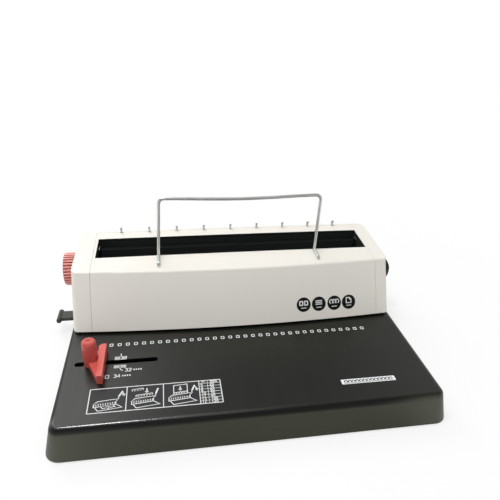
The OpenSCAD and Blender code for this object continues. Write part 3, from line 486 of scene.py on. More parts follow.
def jaw_with_painted_light(top):
    """A blacked bar painted greyer on its face, painted light against the shade there, below a black
    line at `top`, where light falls.
    """
    f = Finish("jaw_satin", 0.05)
    patches = cloud(f, 0.030, 3.0)
    fine = cloud(f, 0.0005)
    # face: the bar below its top line, painted lighter grey to lift its shade; the lit top line is
    # painted black.
    face = 1 - step(f, axis(f, "Z"), top - BLACK_LINE, top - BLACK_EDGE)
    black = mixed(f, patches, tone(21, 23, 23), tone(25, 27, 27))
    grey = mixed(f, patches, tone(41, 44, 44), tone(48, 51, 51))
    f.feed("Base Color", mixed(f, face, black, grey))
    f.feed("Roughness", 0.62 + 0.16 * (patches - 0.5))
    relief(f, fine, 2e-5, 0.0004)
    return f.material


print(jaw_with_painted_light.__name__)

# %% [markdown]
# ## Metals
# Turned and drawn parts have fine lines along or around them, ground plates have lines the
# long way, and plated screws are smooth with cloudy zinc. A measured reflectance would be
# exact, but a grey metal with streaks in its roughness shows the way each part was made.

# %% Metal recipe
METAL_EDGE = 0.0002


def metal(name, first, second, rough, line_size, stretch, line_depth):
    """Bare or plated metal with lines drawn out along the axes that `stretch` favours."""
    f = Finish(name, constants={"Metallic": 1.0})
    lines = streaks(f, line_size, stretch)
    stain = cloud(f, 0.018, 4.0)
    f.feed("Base Color", mixed(f, stain, tone(*first), tone(*second)))
    f.feed("Roughness", rough + 0.24 * (lines - 0.5) + 0.14 * (stain - 0.5))
    relief(f, lines, line_depth, METAL_EDGE)
    return f.material


def sheet_paint():
    """Grey enamel on the bottom plate, with the slight ripple of sprayed paint."""
    f = Finish("plate_enamel", 0.4)
    ripple = cloud(f, 0.0025, 3.0)
    patches = cloud(f, 0.050, 3.0)
    f.feed("Base Color", mixed(f, patches, tone(80, 81, 84), tone(94, 95, 98)))
    f.feed("Roughness", 0.42 + 0.2 * (patches - 0.5))
    relief(f, ripple, 5e-5, 0.0004)
    return f.material


print(metal.__name__, sheet_paint.__name__)

# %% [markdown]
# ## One finish for each slot of the record
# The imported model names 23 finishes. Five have a recipe of their own. The rows below give
# the others: a plastic's tones, roughness, grain and gloss, and a metal's tones, roughness
# and lines. Every solid takes the finish of its slot. Then the two knobs get their own, and
# the nut under the table is blacked, because bright zinc would show through the slot.

# %% Finishes by slot
ALONG_X = (60.0, 1.0, 1.0)
ALONG_Z = (1.0, 1.0, 60.0)
EVEN = (1.0, 1.0, 1.0)

PLASTICS = {
    "red_plastic": ("stop_red", (207, 89, 81), (215, 97, 88), 0.36, 0.0007, 3e-5, 0.4),
    "liner_black": ("liner_satin", (36, 40, 39), (42, 46, 45), 0.6, 0.0006, 3e-5, 0.15),
    "grip_black": ("grip_grain", (20, 21, 21), (30, 31, 31), 0.48, 0.0011, 8e-5, 0.35),
    "tray_black": ("tray_satin", (30, 31, 32), (38, 39, 40), 0.5, 0.0008, 4e-5, 0.3),
    "pull_grey": ("pull_satin", (58, 60, 53), (68, 70, 62), 0.48, 0.0008, 4e-5, 0.3),
    "cam_plastic": ("cam_natural", (205, 201, 188), (216, 212, 200), 0.4, 0.0006, 2e-5, 0.4),
}
METALS = {
    "zinc_screw": ("screw_zinc", (150, 152, 156), (168, 169, 170), 0.34, 0.0006, EVEN, 8e-6),
    "black_screw": ("screw_blacked", (52, 52, 54), (64, 64, 66), 0.4, 0.0006, EVEN, 8e-6),
    "runner_steel": ("runner_rolled", (128, 131, 136), (142, 145, 150), 0.38, 0.0005, ALONG_X, 1e-5),
    "die_steel": ("die_ground", (178, 181, 185), (192, 194, 197), 0.26, 0.0004, ALONG_X, 6e-6),
    "frame_steel": ("frame_rolled", (134, 137, 141), (150, 153, 157), 0.4, 0.0007, ALONG_Z, 1e-5),
    "shaft_steel": ("shaft_turned", (186, 188, 190), (200, 202, 203), 0.2, 0.0003, ALONG_X, 4e-6),
    "bush_brass": ("bush_turned", (181, 146, 84), (196, 160, 96), 0.3, 0.0004, EVEN, 6e-6),
    "bail_wire": ("bail_plated", (208, 210, 207), (222, 224, 221), 0.34, 0.0005, EVEN, 6e-6),
    "hook_steel": ("hook_plated", (206, 207, 206), (220, 221, 220), 0.42, 0.0005, ALONG_X, 6e-6),
    "beam_steel": ("beam_milled", (118, 121, 125), (136, 139, 143), 0.38, 0.0006, ALONG_X, 1e-5),
    "pin_steel": ("pin_ground", (196, 198, 200), (208, 210, 212), 0.2, 0.0003, ALONG_Z, 4e-6),
    "spring_steel": ("spring_drawn", (170, 173, 175), (186, 188, 190), 0.28, 0.0003, EVEN, 4e-6),
}
finishes = {
    "base_paint": base_finish(),
    "plate_paint": sheet_paint(),
    "foot_rubber": rubber_finish(),
    "cover_white": cover_finish(),
    "jaw_black": jaw_with_painted_light(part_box("gap_bar")[1][2]),
}
finishes.update({slot: plastic(*row) for slot, row in PLASTICS.items()})
finishes.update({slot: metal(*row) for slot, row in METALS.items()})
for node in frame["nodes"].values():
    for held in node.material_slots:
        held.material = finishes[held.material.name]
own = {"stop_nut": finishes["black_screw"], "size_knob": ribbed_red(), "stop_knob": beaded_red()}
for name, material in own.items():
    frame["nodes"][name].material_slots[0].material = material
print("finishes", len(finishes), "and", len(own), "pieces with one of their own")

# %% [markdown]
# ## Pieces from arrays
# A new piece starts as an array of points in millimetres and lists of corners. It could be
# drawn by hand or grown with modifiers, but an array shows its formula, and gives the same
# mesh each time. Every piece rides on a body of the machine from the moment it is made.

# %% Making a piece
def make_piece(name, points, faces, material, body, smooth=False):
    """Mesh from points in millimetres and lists of corners, riding on a body."""
    mesh = bpy.data.meshes.new(name)
    mesh.from_pydata((points * MM).tolist(), [], faces)
    mesh.validate()
    mesh.polygons.foreach_set("use_smooth", np.full(len(mesh.polygons), smooth))
    mesh.materials.append(material)
    piece = placed(name, mesh)
    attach(piece, body)
    print(name, len(mesh.polygons), "faces")
    return piece


def unit(rows):
    """Each row of an array at length 1."""
    return rows / np.linalg.norm(rows, axis=1, keepdims=True)


print("a row of 3 and 4 at length 1 is", unit(np.array([(3.0, 4.0)]))[0])

# %% [markdown]
# ## Round wire along a path
# The bail and the springs are bent from round wire. A curve with a bevel would give a tube
# as well, but a circle carried along an array of points is plain arithmetic. Wire bends
# round a pin and never to a point, so a chain of points first gets an arc at each corner.

# %% Rounded chains and tubes
ARC_POINTS = 10


def rounded(chain, radii):
    """Chain of points with an arc of its own radius at each inner corner.

    The arc starts and ends a tangent of half the bend away from the corner. Between those
    two places the spoke from the arc's centre turns evenly from one end to the other.
    """
    chain = np.asarray(chain, float)
    legs = unit(np.diff(chain, axis=0))
    pieces = [chain[:1]]
    for corner, a, b, r in zip(chain[1:-1], legs, legs[1:], radii):
        bend = math.acos(float(a @ b))
        cut = r * math.tan(bend / 2)
        centre = corner + (b - a) / np.linalg.norm(b - a) * r / math.cos(bend / 2)
        first, last = corner - cut * a - centre, corner + cut * b - centre
        t = np.linspace(0, 1, ARC_POINTS)[:, None]
        spoke = (np.sin((1 - t) * bend) * first + np.sin(t * bend) * last) / math.sin(bend)
        pieces.append(centre + spoke)
    return np.vstack(pieces + [chain[-1:]])


def tube(path, radius, twist, sides=24):
    """Circle of `radius` carried along a path: its points, its walls and its flat ends.

    `twist` gives, for each point, how far the circle's first spoke has turned from X to Y.
    The part of that spoke along the path is taken off, and the second spoke is their cross
    product.
    """
    along = unit(np.gradient(path, axis=0))
    spoke = np.stack((np.cos(twist), np.sin(twist), np.zeros(len(path))), 1)
    spoke = unit(spoke - (spoke * along).sum(1, keepdims=True) * along)
    other = np.cross(along, spoke)
    angle = np.linspace(0, 2 * math.pi, sides, endpoint=False)[None, :, None]
    turned = np.cos(angle) * spoke[:, None] + np.sin(angle) * other[:, None]
    rings = path[:, None] + radius * turned
    i, j = np.meshgrid(np.arange(len(path) - 1) * sides, np.arange(sides), indexing="ij")
    k = (j + 1) % sides
    walls = np.stack((i + j, i + k, i + sides + k, i + sides + j), 2).reshape(-1, 4)
    first = np.arange(sides)
    ends = np.stack((first[::-1], first + (len(path) - 1) * sides))
    return rings.reshape(-1, 3), walls, ends


print("an arc has", ARC_POINTS, "points")

# %% [markdown]
# ## The bail
# The bail is one length of plated wire, bent by hand: its bar hangs through a little in the
# middle, and its legs lean slightly to the right. The solid is exact and straight, so a
# swept tube takes its place. The solid still gives the height of the two feet, which lie
# on the cover's top.

# %% Bail
WIRE_R = 1.8
BEND_R = (3.0, 3.0, 6.0)
FOOT_MARGIN = 2.9
FOOT_BAND = 25.0
LEAN_LEFT = 3.1
LEAN_RIGHT = 1.8
BAR_FROM = 10.0
BAR_TO = 8.0
SAG = 2.2
SAG_POWER = 1.4
LEG_POINTS = 12
BAR_POINTS = 40
bail_low, bail_high = (np.array(corner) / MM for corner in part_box("bail"))
solid = frame["nodes"]["bail"].data
places = np.empty(3 * len(solid.vertices))
solid.vertices.foreach_get("co", places)
places = places.reshape(-1, 3) / MM
front, back = bail_low[1] + WIRE_R, bail_high[1] - WIRE_R
on_foot = (places[:, 1] > front + FOOT_MARGIN) & (places[:, 1] < back - FOOT_MARGIN)
foot_z = places[on_foot & (places[:, 2] < bail_low[2] + FOOT_BAND), 2].max() - WIRE_R
top = bail_high[2] - WIRE_R


def bail_side(foot_x, top_x, bar_x):
    """Path of one side from its plug to the bar, and the turn of its circle along it."""
    chain = [(foot_x, front, bail_low[2]), (foot_x, front, foot_z), (foot_x, back, foot_z)]
    chain += [(top_x, back, top), (bar_x, back, top)]
    bent = rounded(chain, BEND_R)
    foot = 1 + 2 * ARC_POINTS
    rise = np.linspace(0, 1, LEG_POINTS + 2)[1:-1, None]
    leg = bent[foot - 1] + rise * (bent[foot] - bent[foot - 1])
    quarter = math.pi / 2
    turns = (np.zeros(foot), rise[:, 0] * quarter, np.full(len(bent) - foot, quarter))
    return np.vstack((bent[:foot], leg, bent[foot:])), np.concatenate(turns)


left, right = bail_low[0] + WIRE_R, bail_high[0] - WIRE_R
left_path, left_turn = bail_side(left, left + LEAN_LEFT, left + BAR_FROM)
right_path, right_turn = bail_side(right, right + LEAN_RIGHT, right - BAR_TO)
share = np.linspace(0, 1, BAR_POINTS + 2)[1:-1]
bar = left_path[-1] + share[:, None] * (right_path[-1] - left_path[-1])
bar[:, 2] -= SAG * np.sin(math.pi * share) ** SAG_POWER
wire_path = np.vstack((left_path, bar, right_path[::-1]))
wire_turn = np.concatenate((left_turn, np.full(len(bar), math.pi / 2), right_turn[::-1]))
points, walls, ends = tube(wire_path, WIRE_R, wire_turn)
faces = walls.tolist() + ends.tolist()
bail = make_piece("bail_bent", points, faces, finishes["bail_wire"], "bail", True)
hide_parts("bail")
print("bail foot", round(foot_z, 2), "top", round(top, 2), "mm")

# %% [markdown]
# ## The return springs
# Two coil springs stand between the stripper plate and pockets in the punch beam, and push
# the beam up again. A swept helix takes the place of the stiff solid coil. The end turns
# lie close, as the ground ends of a real spring do, and the other turns share the height.

# %% Return springs
SPRING_R = 2.0
SPRING_WIRE_R = 0.4
TURNS = 8
TURN_POINTS = 20
END_RISE = 0.9
coil_low, coil_high = (np.array(corner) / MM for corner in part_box("return_springs"))
turned = np.linspace(0, TURNS, TURNS * TURN_POINTS + 1)
low_z, high_z = coil_low[2] + SPRING_WIRE_R, coil_high[2] - SPRING_WIRE_R
heights = (low_z, low_z + END_RISE, high_z - END_RISE, high_z)
coil_z = np.interp(turned, (0, 1, TURNS - 1, TURNS), heights)
wound = 2 * math.pi * turned
helix = np.stack((SPRING_R * np.cos(wound), SPRING_R * np.sin(wound), coil_z), 1)
points, walls, ends = tube(helix, SPRING_WIRE_R, wound, sides=8)
coil_x = coil_high[0] - SPRING_R - SPRING_WIRE_R
coil_y = (coil_low[1] + coil_high[1]) / 2
both = np.vstack([points + (x, coil_y, 0.0) for x in (-coil_x, coil_x)])
starts = (0, len(points))
faces = [f for start in starts for part in (walls, ends) for f in (part + start).tolist()]
springs = make_piece("springs_wound", both, faces, finishes["spring_steel"], "machine", True)
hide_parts("return_springs")
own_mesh(springs)

# %% [markdown]
# ## Thin prints as swept ribbons
# Marks, rules, figures and line drawings are screen printed: flat ink a few hundredths of a
# millimetre thick. They could be painted into the base's material, but as thin pieces of
# their own they stay sharp at any distance. Each stroke is a small rectangle carried along
# a path of points. The path is laid out flat, and a last step sets it on the table or on
# the leaning face of the cover.

# %% Strokes along a path
SUNK = 0.02
MITRE = 0.5


def lifted(flat, height):
    """Flat points, all at one height."""
    return np.column_stack((flat, np.full(len(flat), height)))


def stroke(path, width, height, closed=False):
    """Rectangle `width` by `height` swept along a flat path.

    At each point the two neighbouring directions are averaged. The sides lie half a width
    to the left and right of it, made longer at a corner by one over the cosine of half the
    bend, which counts as `MITRE` at least. Four rows of points (low left, high left, high
    right, low right) close the tube.
    """
    p = np.asarray(path, float)
    ahead = np.roll(p, -1, 0) - p
    behind = p - np.roll(p, 1, 0)
    if not closed:
        ahead[-1] = behind[-1]
        behind[0] = ahead[0]
    ahead, behind = unit(ahead), unit(behind)
    along = ahead + behind
    along = along / np.maximum(np.linalg.norm(along, axis=1, keepdims=True), 1e-9)
    side = np.stack((-along[:, 1], along[:, 0]), 1)
    reach = width / 2 / np.maximum((along * ahead).sum(1, keepdims=True), MITRE)
    left, right = p + side * reach, p - side * reach
    corners = ((left, -SUNK), (left, height), (right, height), (right, -SUNK))
    points = np.stack([lifted(*corner) for corner in corners], 1).reshape(-1, 3)
    count = len(p) if closed else len(p) - 1
    i = np.arange(count)[:, None] * 4
    j = (np.arange(count)[:, None] + 1) % len(p) * 4
    a = np.arange(4)[None, :]
    b = (a + 1) % 4
    faces = np.stack((i + a, i + b, j + b, j + a), 2).reshape(-1, 4)
    if not closed:
        last = (len(p) - 1) * 4
        ends = np.array([(3, 2, 1, 0), (last, last + 1, last + 2, last + 3)])
        faces = np.vstack((faces, ends))
    return points, faces


def patch(outline, height):
    """Flat slab inside a closed outline: the outline drawn in to its middle in two rings.

    Rings from outside in: low edge, high edge, a ring at half size, and the middle point.
    """
    p = np.asarray(outline, float)
    n = len(p)
    middle = p.mean(0)
    half = (p + middle) / 2
    rings = (lifted(p, -SUNK), lifted(p, height), lifted(half, height))
    points = np.vstack((*rings, (*middle, height), (*middle, -SUNK)))
    k = np.arange(n)
    m = (k + 1) % n
    walls = np.stack((k, m, n + m, n + k), 1)
    rim = np.stack((n + k, n + m, 2 * n + m, 2 * n + k), 1)
    hub = np.stack((2 * n + k, 2 * n + m, np.full(n, 3 * n), np.full(n, 3 * n)), 1)
    under = np.stack((m, k, np.full(n, 3 * n + 1), np.full(n, 3 * n + 1)), 1)
    return points, np.vstack((walls, rim, hub, under))


slant = np.arange(10).reshape(5, 2)
print("a stroke of 5 points has", len(stroke(slant, 0.4, 0.05)[1]), "faces")

# %% [markdown]
# ## From flat layout to the machine
# The table is a plane 33.5 mm over the desk. The white face is part of a cone: it bows out
# by 7.7 mm over its length and leans back 27.3 mm in 59.1 mm of height. A point that is `u`
# along the face and `v` up the slope lands on that cone, and ink grows along its normal.

# %% Placing and making a mesh
TABLE_Z = 33.5
FACE_Z = 36.3
FACE_RISE = 59.1
FACE_LEAN = 27.3
SLOPE = math.hypot(FACE_RISE, FACE_LEAN)
HALF_BODY = 181.8
BOW = 7.7
BOW_R = (HALF_BODY ** 2 + BOW ** 2) / (2 * BOW)


def on_table(points):
    """Flat layout in millimetres to the table top."""
    return points + np.array((0.0, 0.0, TABLE_Z))


def on_face(points):
    """Flat layout to the leaning, bowed face: radius shrinks as the slope is climbed."""
    u, v, out = points.T
    radius = BOW_R - FACE_LEAN * v / SLOPE
    inward = np.sqrt(radius ** 2 - u ** 2)
    level = FACE_RISE / SLOPE
    up = FACE_LEAN / SLOPE
    x = u + out * level * u / radius
    y = BOW_R - inward - out * level * inward / radius
    z = FACE_Z + FACE_RISE * v / SLOPE + out * up
    return np.stack((x, y, z), 1)


def print_piece(name, shapes, place, material):
    """Joins flat shapes into one mesh and sets it in place on the machine's fixed body."""
    points = np.vstack([place(s[0]) for s in shapes])
    starts = np.cumsum([0] + [len(s[0]) for s in shapes[:-1]])
    faces = np.vstack([s[1] + start for s, start in zip(shapes, starts)])
    corners = [tuple(dict.fromkeys(f)) for f in faces.tolist()]
    make_piece(name, points, corners, material, "machine")


def ring(x, y, width, depth, corner, count=6):
    """Outline of a rectangle with round corners, corner by corner."""
    turn = np.linspace(0, math.pi / 2, count)
    quarter = np.arange(4)[:, None] * math.pi / 2
    angle = (quarter + turn).ravel()
    sx = np.repeat((1, -1, -1, 1), count) * (width / 2 - corner)
    sy = np.repeat((1, 1, -1, -1), count) * (depth / 2 - corner)
    return np.stack((x + sx + corner * np.cos(angle), y + sy + corner * np.sin(angle)), 1)


def arc(x, y, radius, start, end, count=16):
    """Points on a circle between two angles in degrees."""
    angle = np.radians(np.linspace(start, end, count))
    return np.stack((x + radius * np.cos(angle), y + radius * np.sin(angle)), 1)


print("bow radius", round(BOW_R), "mm")

# %% [markdown]
# ## Inks and labels
# The white ink is slightly grey and thin, so its edges and middle differ a little. The
# round badges are black gloss film, and the strip at the right is white paper film. Each
# gets its own small noise, because a print on a grained surface is never quite even.

# %% Ink finishes
def ink(name, first, second, rough, gloss):
    """Printed ink or film: cloudy between two tones, with the grain under it showing."""
    f = Finish(name, gloss)
    uneven = cloud(f, 0.0012, 4.0)
    fine = cloud(f, 0.0006)
    f.feed("Base Color", mixed(f, uneven, tone(*first), tone(*second)))
    f.feed("Roughness", rough + 0.2 * (uneven - 0.5))
    relief(f, fine, 1e-5, 0.0001)
    return f.material


white_ink = ink("ink_white", (212, 215, 213), (236, 238, 236), 0.5, 0.3)
dark_ink = ink("ink_dark", (26, 27, 32), (40, 41, 46), 0.5, 0.3)
black_film = ink("film_black", (10, 10, 10), (16, 16, 16), 0.4, 0.2)
panel_film = ink("film_panel", (33, 33, 36), (40, 40, 43), 0.48, 0.3)
white_film = ink("film_white", (226, 228, 232), (240, 241, 243), 0.4, 0.4)
print(ink.__name__)

# %% [markdown]
# ## The row of marks
# A row of 34 small hollow squares on the table shows where the holes will be, three to the
# inch. One outline is drawn 34 times, 8.4667 mm apart.

# %% Row of marks
PITCH = 25.4 / 3
MARKS = 34
MARK_Y = -16.0
MARK_SIZE = (3.1, 3.9)
MARK_CORNER = 0.7
MARK_LINE = 1.0
INK = 0.05
mark_x = (np.arange(MARKS) - (MARKS - 1) / 2) * PITCH
outlines = [ring(x, MARK_Y, *MARK_SIZE, MARK_CORNER) for x in mark_x]
marks = [stroke(outline, MARK_LINE, INK, True) for outline in outlines]
print_piece("hole_marks", marks, on_table, white_ink)

# %% [markdown]
# ## Scales beside the slot
# The side stop is set by two small scales, one on each side of its slot: nine short ticks,
# about 1.4 mm apart, a longer one in the middle, and a leader to a plain figure.
# The figures are strokes too: each digit is a path in a box 0.8 wide and 1.4 high.

# %% Figures and scales
SCALE_X = (-134.0, -123.0)
DIGITS = {
    "0": [[(0, .3), (0, 1.1), (.25, 1.4), (.55, 1.4), (.8, 1.1),
           (.8, .3), (.55, 0), (.25, 0), (0, .3)]],
    "1": [[(.1, 1.05), (.45, 1.4), (.45, 0)]],
    "2": [[(0, 1.1), (.2, 1.4), (.6, 1.4), (.8, 1.1), (.75, .8), (0, 0), (.8, 0)]],
    "3": [[(0, 1.25), (.2, 1.4), (.6, 1.4), (.8, 1.15), (.75, .85), (.35, .75)],
          [(.35, .75), (.75, .65), (.8, .3), (.6, 0), (.2, 0), (0, .2)]],
    "4": [[(.6, 0), (.6, 1.4), (0, .4), (.85, .4)]],
    "5": [[(.75, 1.4), (.1, 1.4), (.05, .8), (.5, .88), (.8, .6),
           (.8, .25), (.55, 0), (.2, 0), (0, .15)]],
    "6": [[(.65, 1.4), (.2, .95), (0, .45), (.2, 0), (.6, 0),
           (.8, .25), (.8, .55), (.6, .8), (.1, .7)]],
    "7": [[(0, 1.4), (.8, 1.4), (.3, 0)]],
    "8": [[(.4, .75), (.05, 1.0), (.15, 1.35), (.65, 1.35), (.75, 1.0), (.4, .75)],
          [(.4, .75), (0, .4), (.15, 0), (.65, 0), (.8, .4), (.4, .75)]],
    "9": [[(.15, 0), (.6, .45), (.8, .95), (.6, 1.4), (.2, 1.4),
           (0, 1.15), (0, .85), (.2, .6), (.7, .7)]],
}


def figure(text, x, y, size, width, height=INK):
    """Digits in a line from `x`, each `size` times its box, drawn with strokes."""
    shapes = []
    for place, digit in enumerate(text):
        corner = np.array((x + place * 1.2 * size, y))
        shapes += [stroke(corner + size * np.array(p), width, height) for p in DIGITS[digit]]
    return shapes


def scale(x0, x1, y, rise, long_rise):
    """Nine ticks from a base rule, the middle one longer."""
    ticks = np.linspace(x0, x1, 9)
    shapes = [stroke([(x0 - 0.4, y), (x1 + 0.4, y)], 1.0, INK)]
    shapes += [stroke([(x, y), (x, y + rise)], 0.85, INK) for x in ticks]
    middle = ticks[4]
    shapes.append(stroke([(middle, y), (middle, y + long_rise)], 1.0, INK))
    return shapes


def holes(x, y, count, side=1.3, pitch=2.3):
    """A short row of small filled squares, the sign for punched holes."""
    return [patch(ring(x + k * pitch, y, side, 1.5 * side, 0.2, 3), INK) for k in range(count)]


scales = scale(*SCALE_X, -40.4, 4.6, 9.0) + scale(*SCALE_X, -50.0, -3.8, -4.6)
scales.append(stroke([(-128.5, -54.0), (-127.6, -56.4), (-125.4, -58.0)], 0.9, INK))
scales += figure("32", -123.2, -59.6, 3.0, 0.85) + holes(-114.6, -57.6, 4)
scales += figure("34", -133.6, -67.6, 3.0, 0.85) + holes(-125.0, -65.6, 4)
scales.append(stroke(ring(-140.0, -65.5, 3.2, 4.4, 0.3, 3), 0.7, INK, True))
print_piece("stop_scales", scales, on_table, white_ink)

# %% [markdown]
# ## The instruction panel
# A dark film on the table carries three small line drawings and a table of plain figures,
# all in white. The drawings show the work in three steps: put the sheets in and punch, hang
# them on the wire, close the wire. Each cell has its own little coordinates, about 34 wide
# and 31 high, and each drawing is a list of paths that the same stroke follows.

# %% Line drawings
PANEL_X = -153.5
PANEL_Y = -112.8
PANEL_H = 30.7
PANEL_END = -31.4
CELL = 33.8
TABLE_X = PANEL_X + 3 * CELL
PANEL_FILM = 0.03
PANEL_INK = PANEL_FILM + INK
LINE = 0.8


def lines(paths, x, y=PANEL_Y, closed=False, width=LINE):
    """Several paths of one cell, moved to the cell's corner."""
    corner = np.array((x, y))
    return [stroke(corner + np.array(p, float), width, PANEL_INK, closed) for p in paths]


def press_drawing(x):
    """A plain press from above the front corner: end, front, top and a row of teeth."""
    front = [(5.0, 7.0), (24.5, 9.2), (24.5, 13.4), (5.0, 11.4)]
    top = [(5.0, 11.4), (24.5, 13.4), (26.8, 15.8), (8.0, 14.2)]
    foot = [(6.2, 7.0), (9.2, 2.2), (30.4, 4.8), (25.0, 9.0)]
    teeth = [[(7.0 + 2.1 * k, 8.6 + 0.23 * k), (7.0 + 2.1 * k, 10.4 + 0.23 * k)] for k in range(9)]
    thick = lines((front, top), x, closed=True, width=0.9)
    return thick + lines((foot,), x) + lines(teeth, x, width=0.9)


def arrow(x, tip, tail):
    """A straight arrow: one thick stroke and two barbs."""
    tip, tail = np.array(tip, float), np.array(tail, float)
    back = (tail - tip) / np.linalg.norm(tail - tip)
    across = np.array((-back[1], back[0]))
    barbs = [tip + 1.8 * back + 1.4 * across, tip, tip + 1.8 * back - 1.4 * across]
    return lines((barbs, [tip, tail]), x, width=1.1)


def loops(x, first, count, pitch, radius):
    """A row of open rings, as a comb of wire seen from its end."""
    centres = [(first[0] + k * pitch, first[1] + 0.1 * k * pitch) for k in range(count)]
    return lines([arc(cx, cy, radius, -60, 240, 14) for cx, cy in centres], x, width=0.7)


def lever_line(x, lean):
    """The lever as a bent line from the end of the body, with its grip thicker."""
    foot = np.array((26.0, 14.0))
    knee = foot + (0.8, 5.0)
    tip = knee + (lean, 6.6)
    return lines(([foot, knee],), x) + lines(([knee, tip],), x, width=1.6)


print("a press drawing has", len(press_drawing(0.0)), "strokes")

# %% [markdown]
# ## The panel put together
# The film comes first, and the white frame, the rules between the cells and the drawings go
# on it. One drawing could be copied three times, but each cell shows another step, so the
# press is shared and the sheet, the page, the loops and the arrows differ.

# %% Panel
panel_middle = (PANEL_X + PANEL_END) / 2
panel_size = (PANEL_END - PANEL_X, PANEL_H)
panel_ring = ring(panel_middle, PANEL_Y + PANEL_H / 2, *panel_size, 0.4, 3)
print_piece("panel_film", [patch(panel_ring, PANEL_FILM)], on_table, panel_film)

cells = [PANEL_X + k * CELL for k in range(3)]
sheet = [(13.0, 5.0), (24.2, 6.3), (22.0, 8.6), (11.4, 7.4)]
page = [(9.6, 14.6), (9.6, 27.0), (22.4, 28.0), (22.4, 15.6)]
drawing = [stroke(panel_ring, 0.9, PANEL_INK, True)]
rules = [[(x, 0.4), (x, PANEL_H - 0.4)] for x in (cells[1], cells[2], TABLE_X)]
drawing += lines(rules, 0)
for x, lean in zip(cells, (3.2, 2.0, 2.8)):
    drawing += press_drawing(x) + lever_line(x, lean)
drawing += lines((sheet,), cells[0], closed=True) + arrow(cells[0], (17.6, 7.2), (18.6, 3.8))
drawing += arrow(cells[0], (31.6, 19.6), (29.8, 24.0))
drawing += loops(cells[1], (6.0, 25.2), 4, 2.6, 1.3) + loops(cells[1], (9.6, 17.4), 6, 2.6, 1.2)
drawing += arrow(cells[1], (18.4, 20.8), (18.4, 26.6))
drawing += lines((page,), cells[2]) + loops(cells[2], (11.0, 16.6), 5, 2.4, 1.0)
drawing += arrow(cells[2], (15.8, 20.2), (15.8, 25.4)) + arrow(cells[2], (31.8, 18.6), (30.2, 23.4))
print_piece("panel_drawings", drawing, on_table, white_ink)

# %% [markdown]
# ## The table of wire sizes
# At the panel's end a ruled table pairs a wire's diameter in millimetres with the sheets it
# holds. Only plain figures go in, each a couple of millimetres high.

# %% Table of sizes
FIGURE = 1.8
FIGURE_LINE = 0.6
SIZES = (
    ("14", "120"), ("13", "100"), ("11", "90"), ("10", "70"), ("8", "50"), ("6", "35"), ("5", "20"),
)
row_h = PANEL_H / (len(SIZES) + 1)
column = TABLE_X + 8.2
rule_y = [PANEL_Y + k * row_h for k in range(1, len(SIZES) + 1)]
rules = [[(TABLE_X, y), (PANEL_END, y)] for y in rule_y]
rules.append([(column, PANEL_Y), (column, PANEL_Y + PANEL_H)])
table_lines = lines(rules, 0, 0, width=0.45)
for k, (size, sheets) in enumerate(SIZES):
    low = PANEL_Y + k * row_h + 0.7
    table_lines += figure(size, TABLE_X + 1.8, low, FIGURE, FIGURE_LINE, PANEL_INK)
    table_lines += figure(sheets, column + 2.2, low, FIGURE, FIGURE_LINE, PANEL_INK)
head = PANEL_Y + (len(SIZES) + 0.5) * row_h
signs = [arc(TABLE_X + 4.1, head, 1.2, -60, 240)]
signs += [[(column + 2.5, head + d), (column + 9.5, head + d)] for d in (-1.1, 0, 1.1)]
table_lines += lines(signs, 0, 0, width=FIGURE_LINE)
print_piece("size_table", table_lines, on_table, white_ink)

# %% [markdown]
# ## The label strip
# A strip of white film sits near the right front corner. It carries a plain row of wire
# loops in dark ink, which says what the machine is for without a word.

# %% Label strip
STRIP_X = 115.0
STRIP_Y = -100.7
STRIP_SIZE = (56.0, 6.6)
LOOPS = 13
LOOP_PITCH = 3.9
STRIP_FILM = 0.08
STRIP_INK = STRIP_FILM + 0.03
strip = ring(STRIP_X, STRIP_Y, *STRIP_SIZE, 0.5, 3)
print_piece("label_strip", [patch(strip, STRIP_FILM)], on_table, white_film)
loop_x = STRIP_X + (np.arange(LOOPS) - (LOOPS - 1) / 2) * LOOP_PITCH
coil = [stroke(arc(x, -100.5, 1.5, -60, 240, 14), 0.9, STRIP_INK) for x in loop_x]
coil.append(stroke([(89.5, -102.8), (140.5, -102.8)], 0.5, STRIP_INK))
print_piece("label_loops", coil, on_table, dark_ink)

# %% [markdown]
# ## Round badges on the face
# Four black discs stand in a row on the white face. Each shows one plain sign in white: a
# pair of square holes, a stack of sheets, three wire loops and a page with a folded corner,
# and below it a short rule. Discs and signs are laid out flat and then wrapped on the cone.

# %% Badges
BADGE_X = np.array((75.7, 94.1, 113.0, 131.0))
BADGE_UP = 18.7 - (BADGE_X - 75.7) / 48
BADGE_R = 8.4
FILM = 0.12
SIGN = FILM + 0.04
discs = [patch(arc(x, up, BADGE_R, 0, 352.5, 48), FILM) for x, up in zip(BADGE_X, BADGE_UP)]
print_piece("badge_discs", discs, on_face, black_film)


def sign(paths, badge, width=1.2, closed=False):
    """Strokes of one badge, measured from the disc's centre."""
    centre = np.array((BADGE_X[badge], BADGE_UP[badge]))
    return [stroke(centre + np.array(p, float), width, SIGN, closed) for p in paths]


signs = sign([ring(d, 1.6, 3.6, 4.4, 0.5) for d in (-2.9, 2.9)], 0, 1.4, True)
signs += sign([[(-4.0, h), (4.0, h)] for h in (-0.4, 1.6, 3.6)], 1)
signs += sign([arc(d, 1.8, 2.2, -70, 250, 20) for d in (-3.5, 0.0, 3.5)], 2)
signs += sign([[(-3.0, -1.0), (-3.0, 5.0), (1.0, 5.0), (3.0, 3.0), (3.0, -1.0)]], 3, 1.2, True)
signs += sign([[(1.0, 5.0), (1.0, 3.0), (3.0, 3.0)]], 3, 0.9)
for badge in range(4):
    signs += sign([[(-3.2, -4.0), (3.2, -4.0)]], badge, 0.9)
print_piece("badge_signs", signs, on_face, white_ink)

# %% [markdown]
# ## Floor
# The picture was taken against plain white. The floor is white to the camera, and near the
# machine part of it stays ordinary matt paper, which keeps the shadow. The front wall of the
# base mirrors the floor, brightly at its two ends and hardly at all between them, so shiny
# parts see a floor that is dull in the middle. A darker floor could give that too, but then
# the camera would see it.

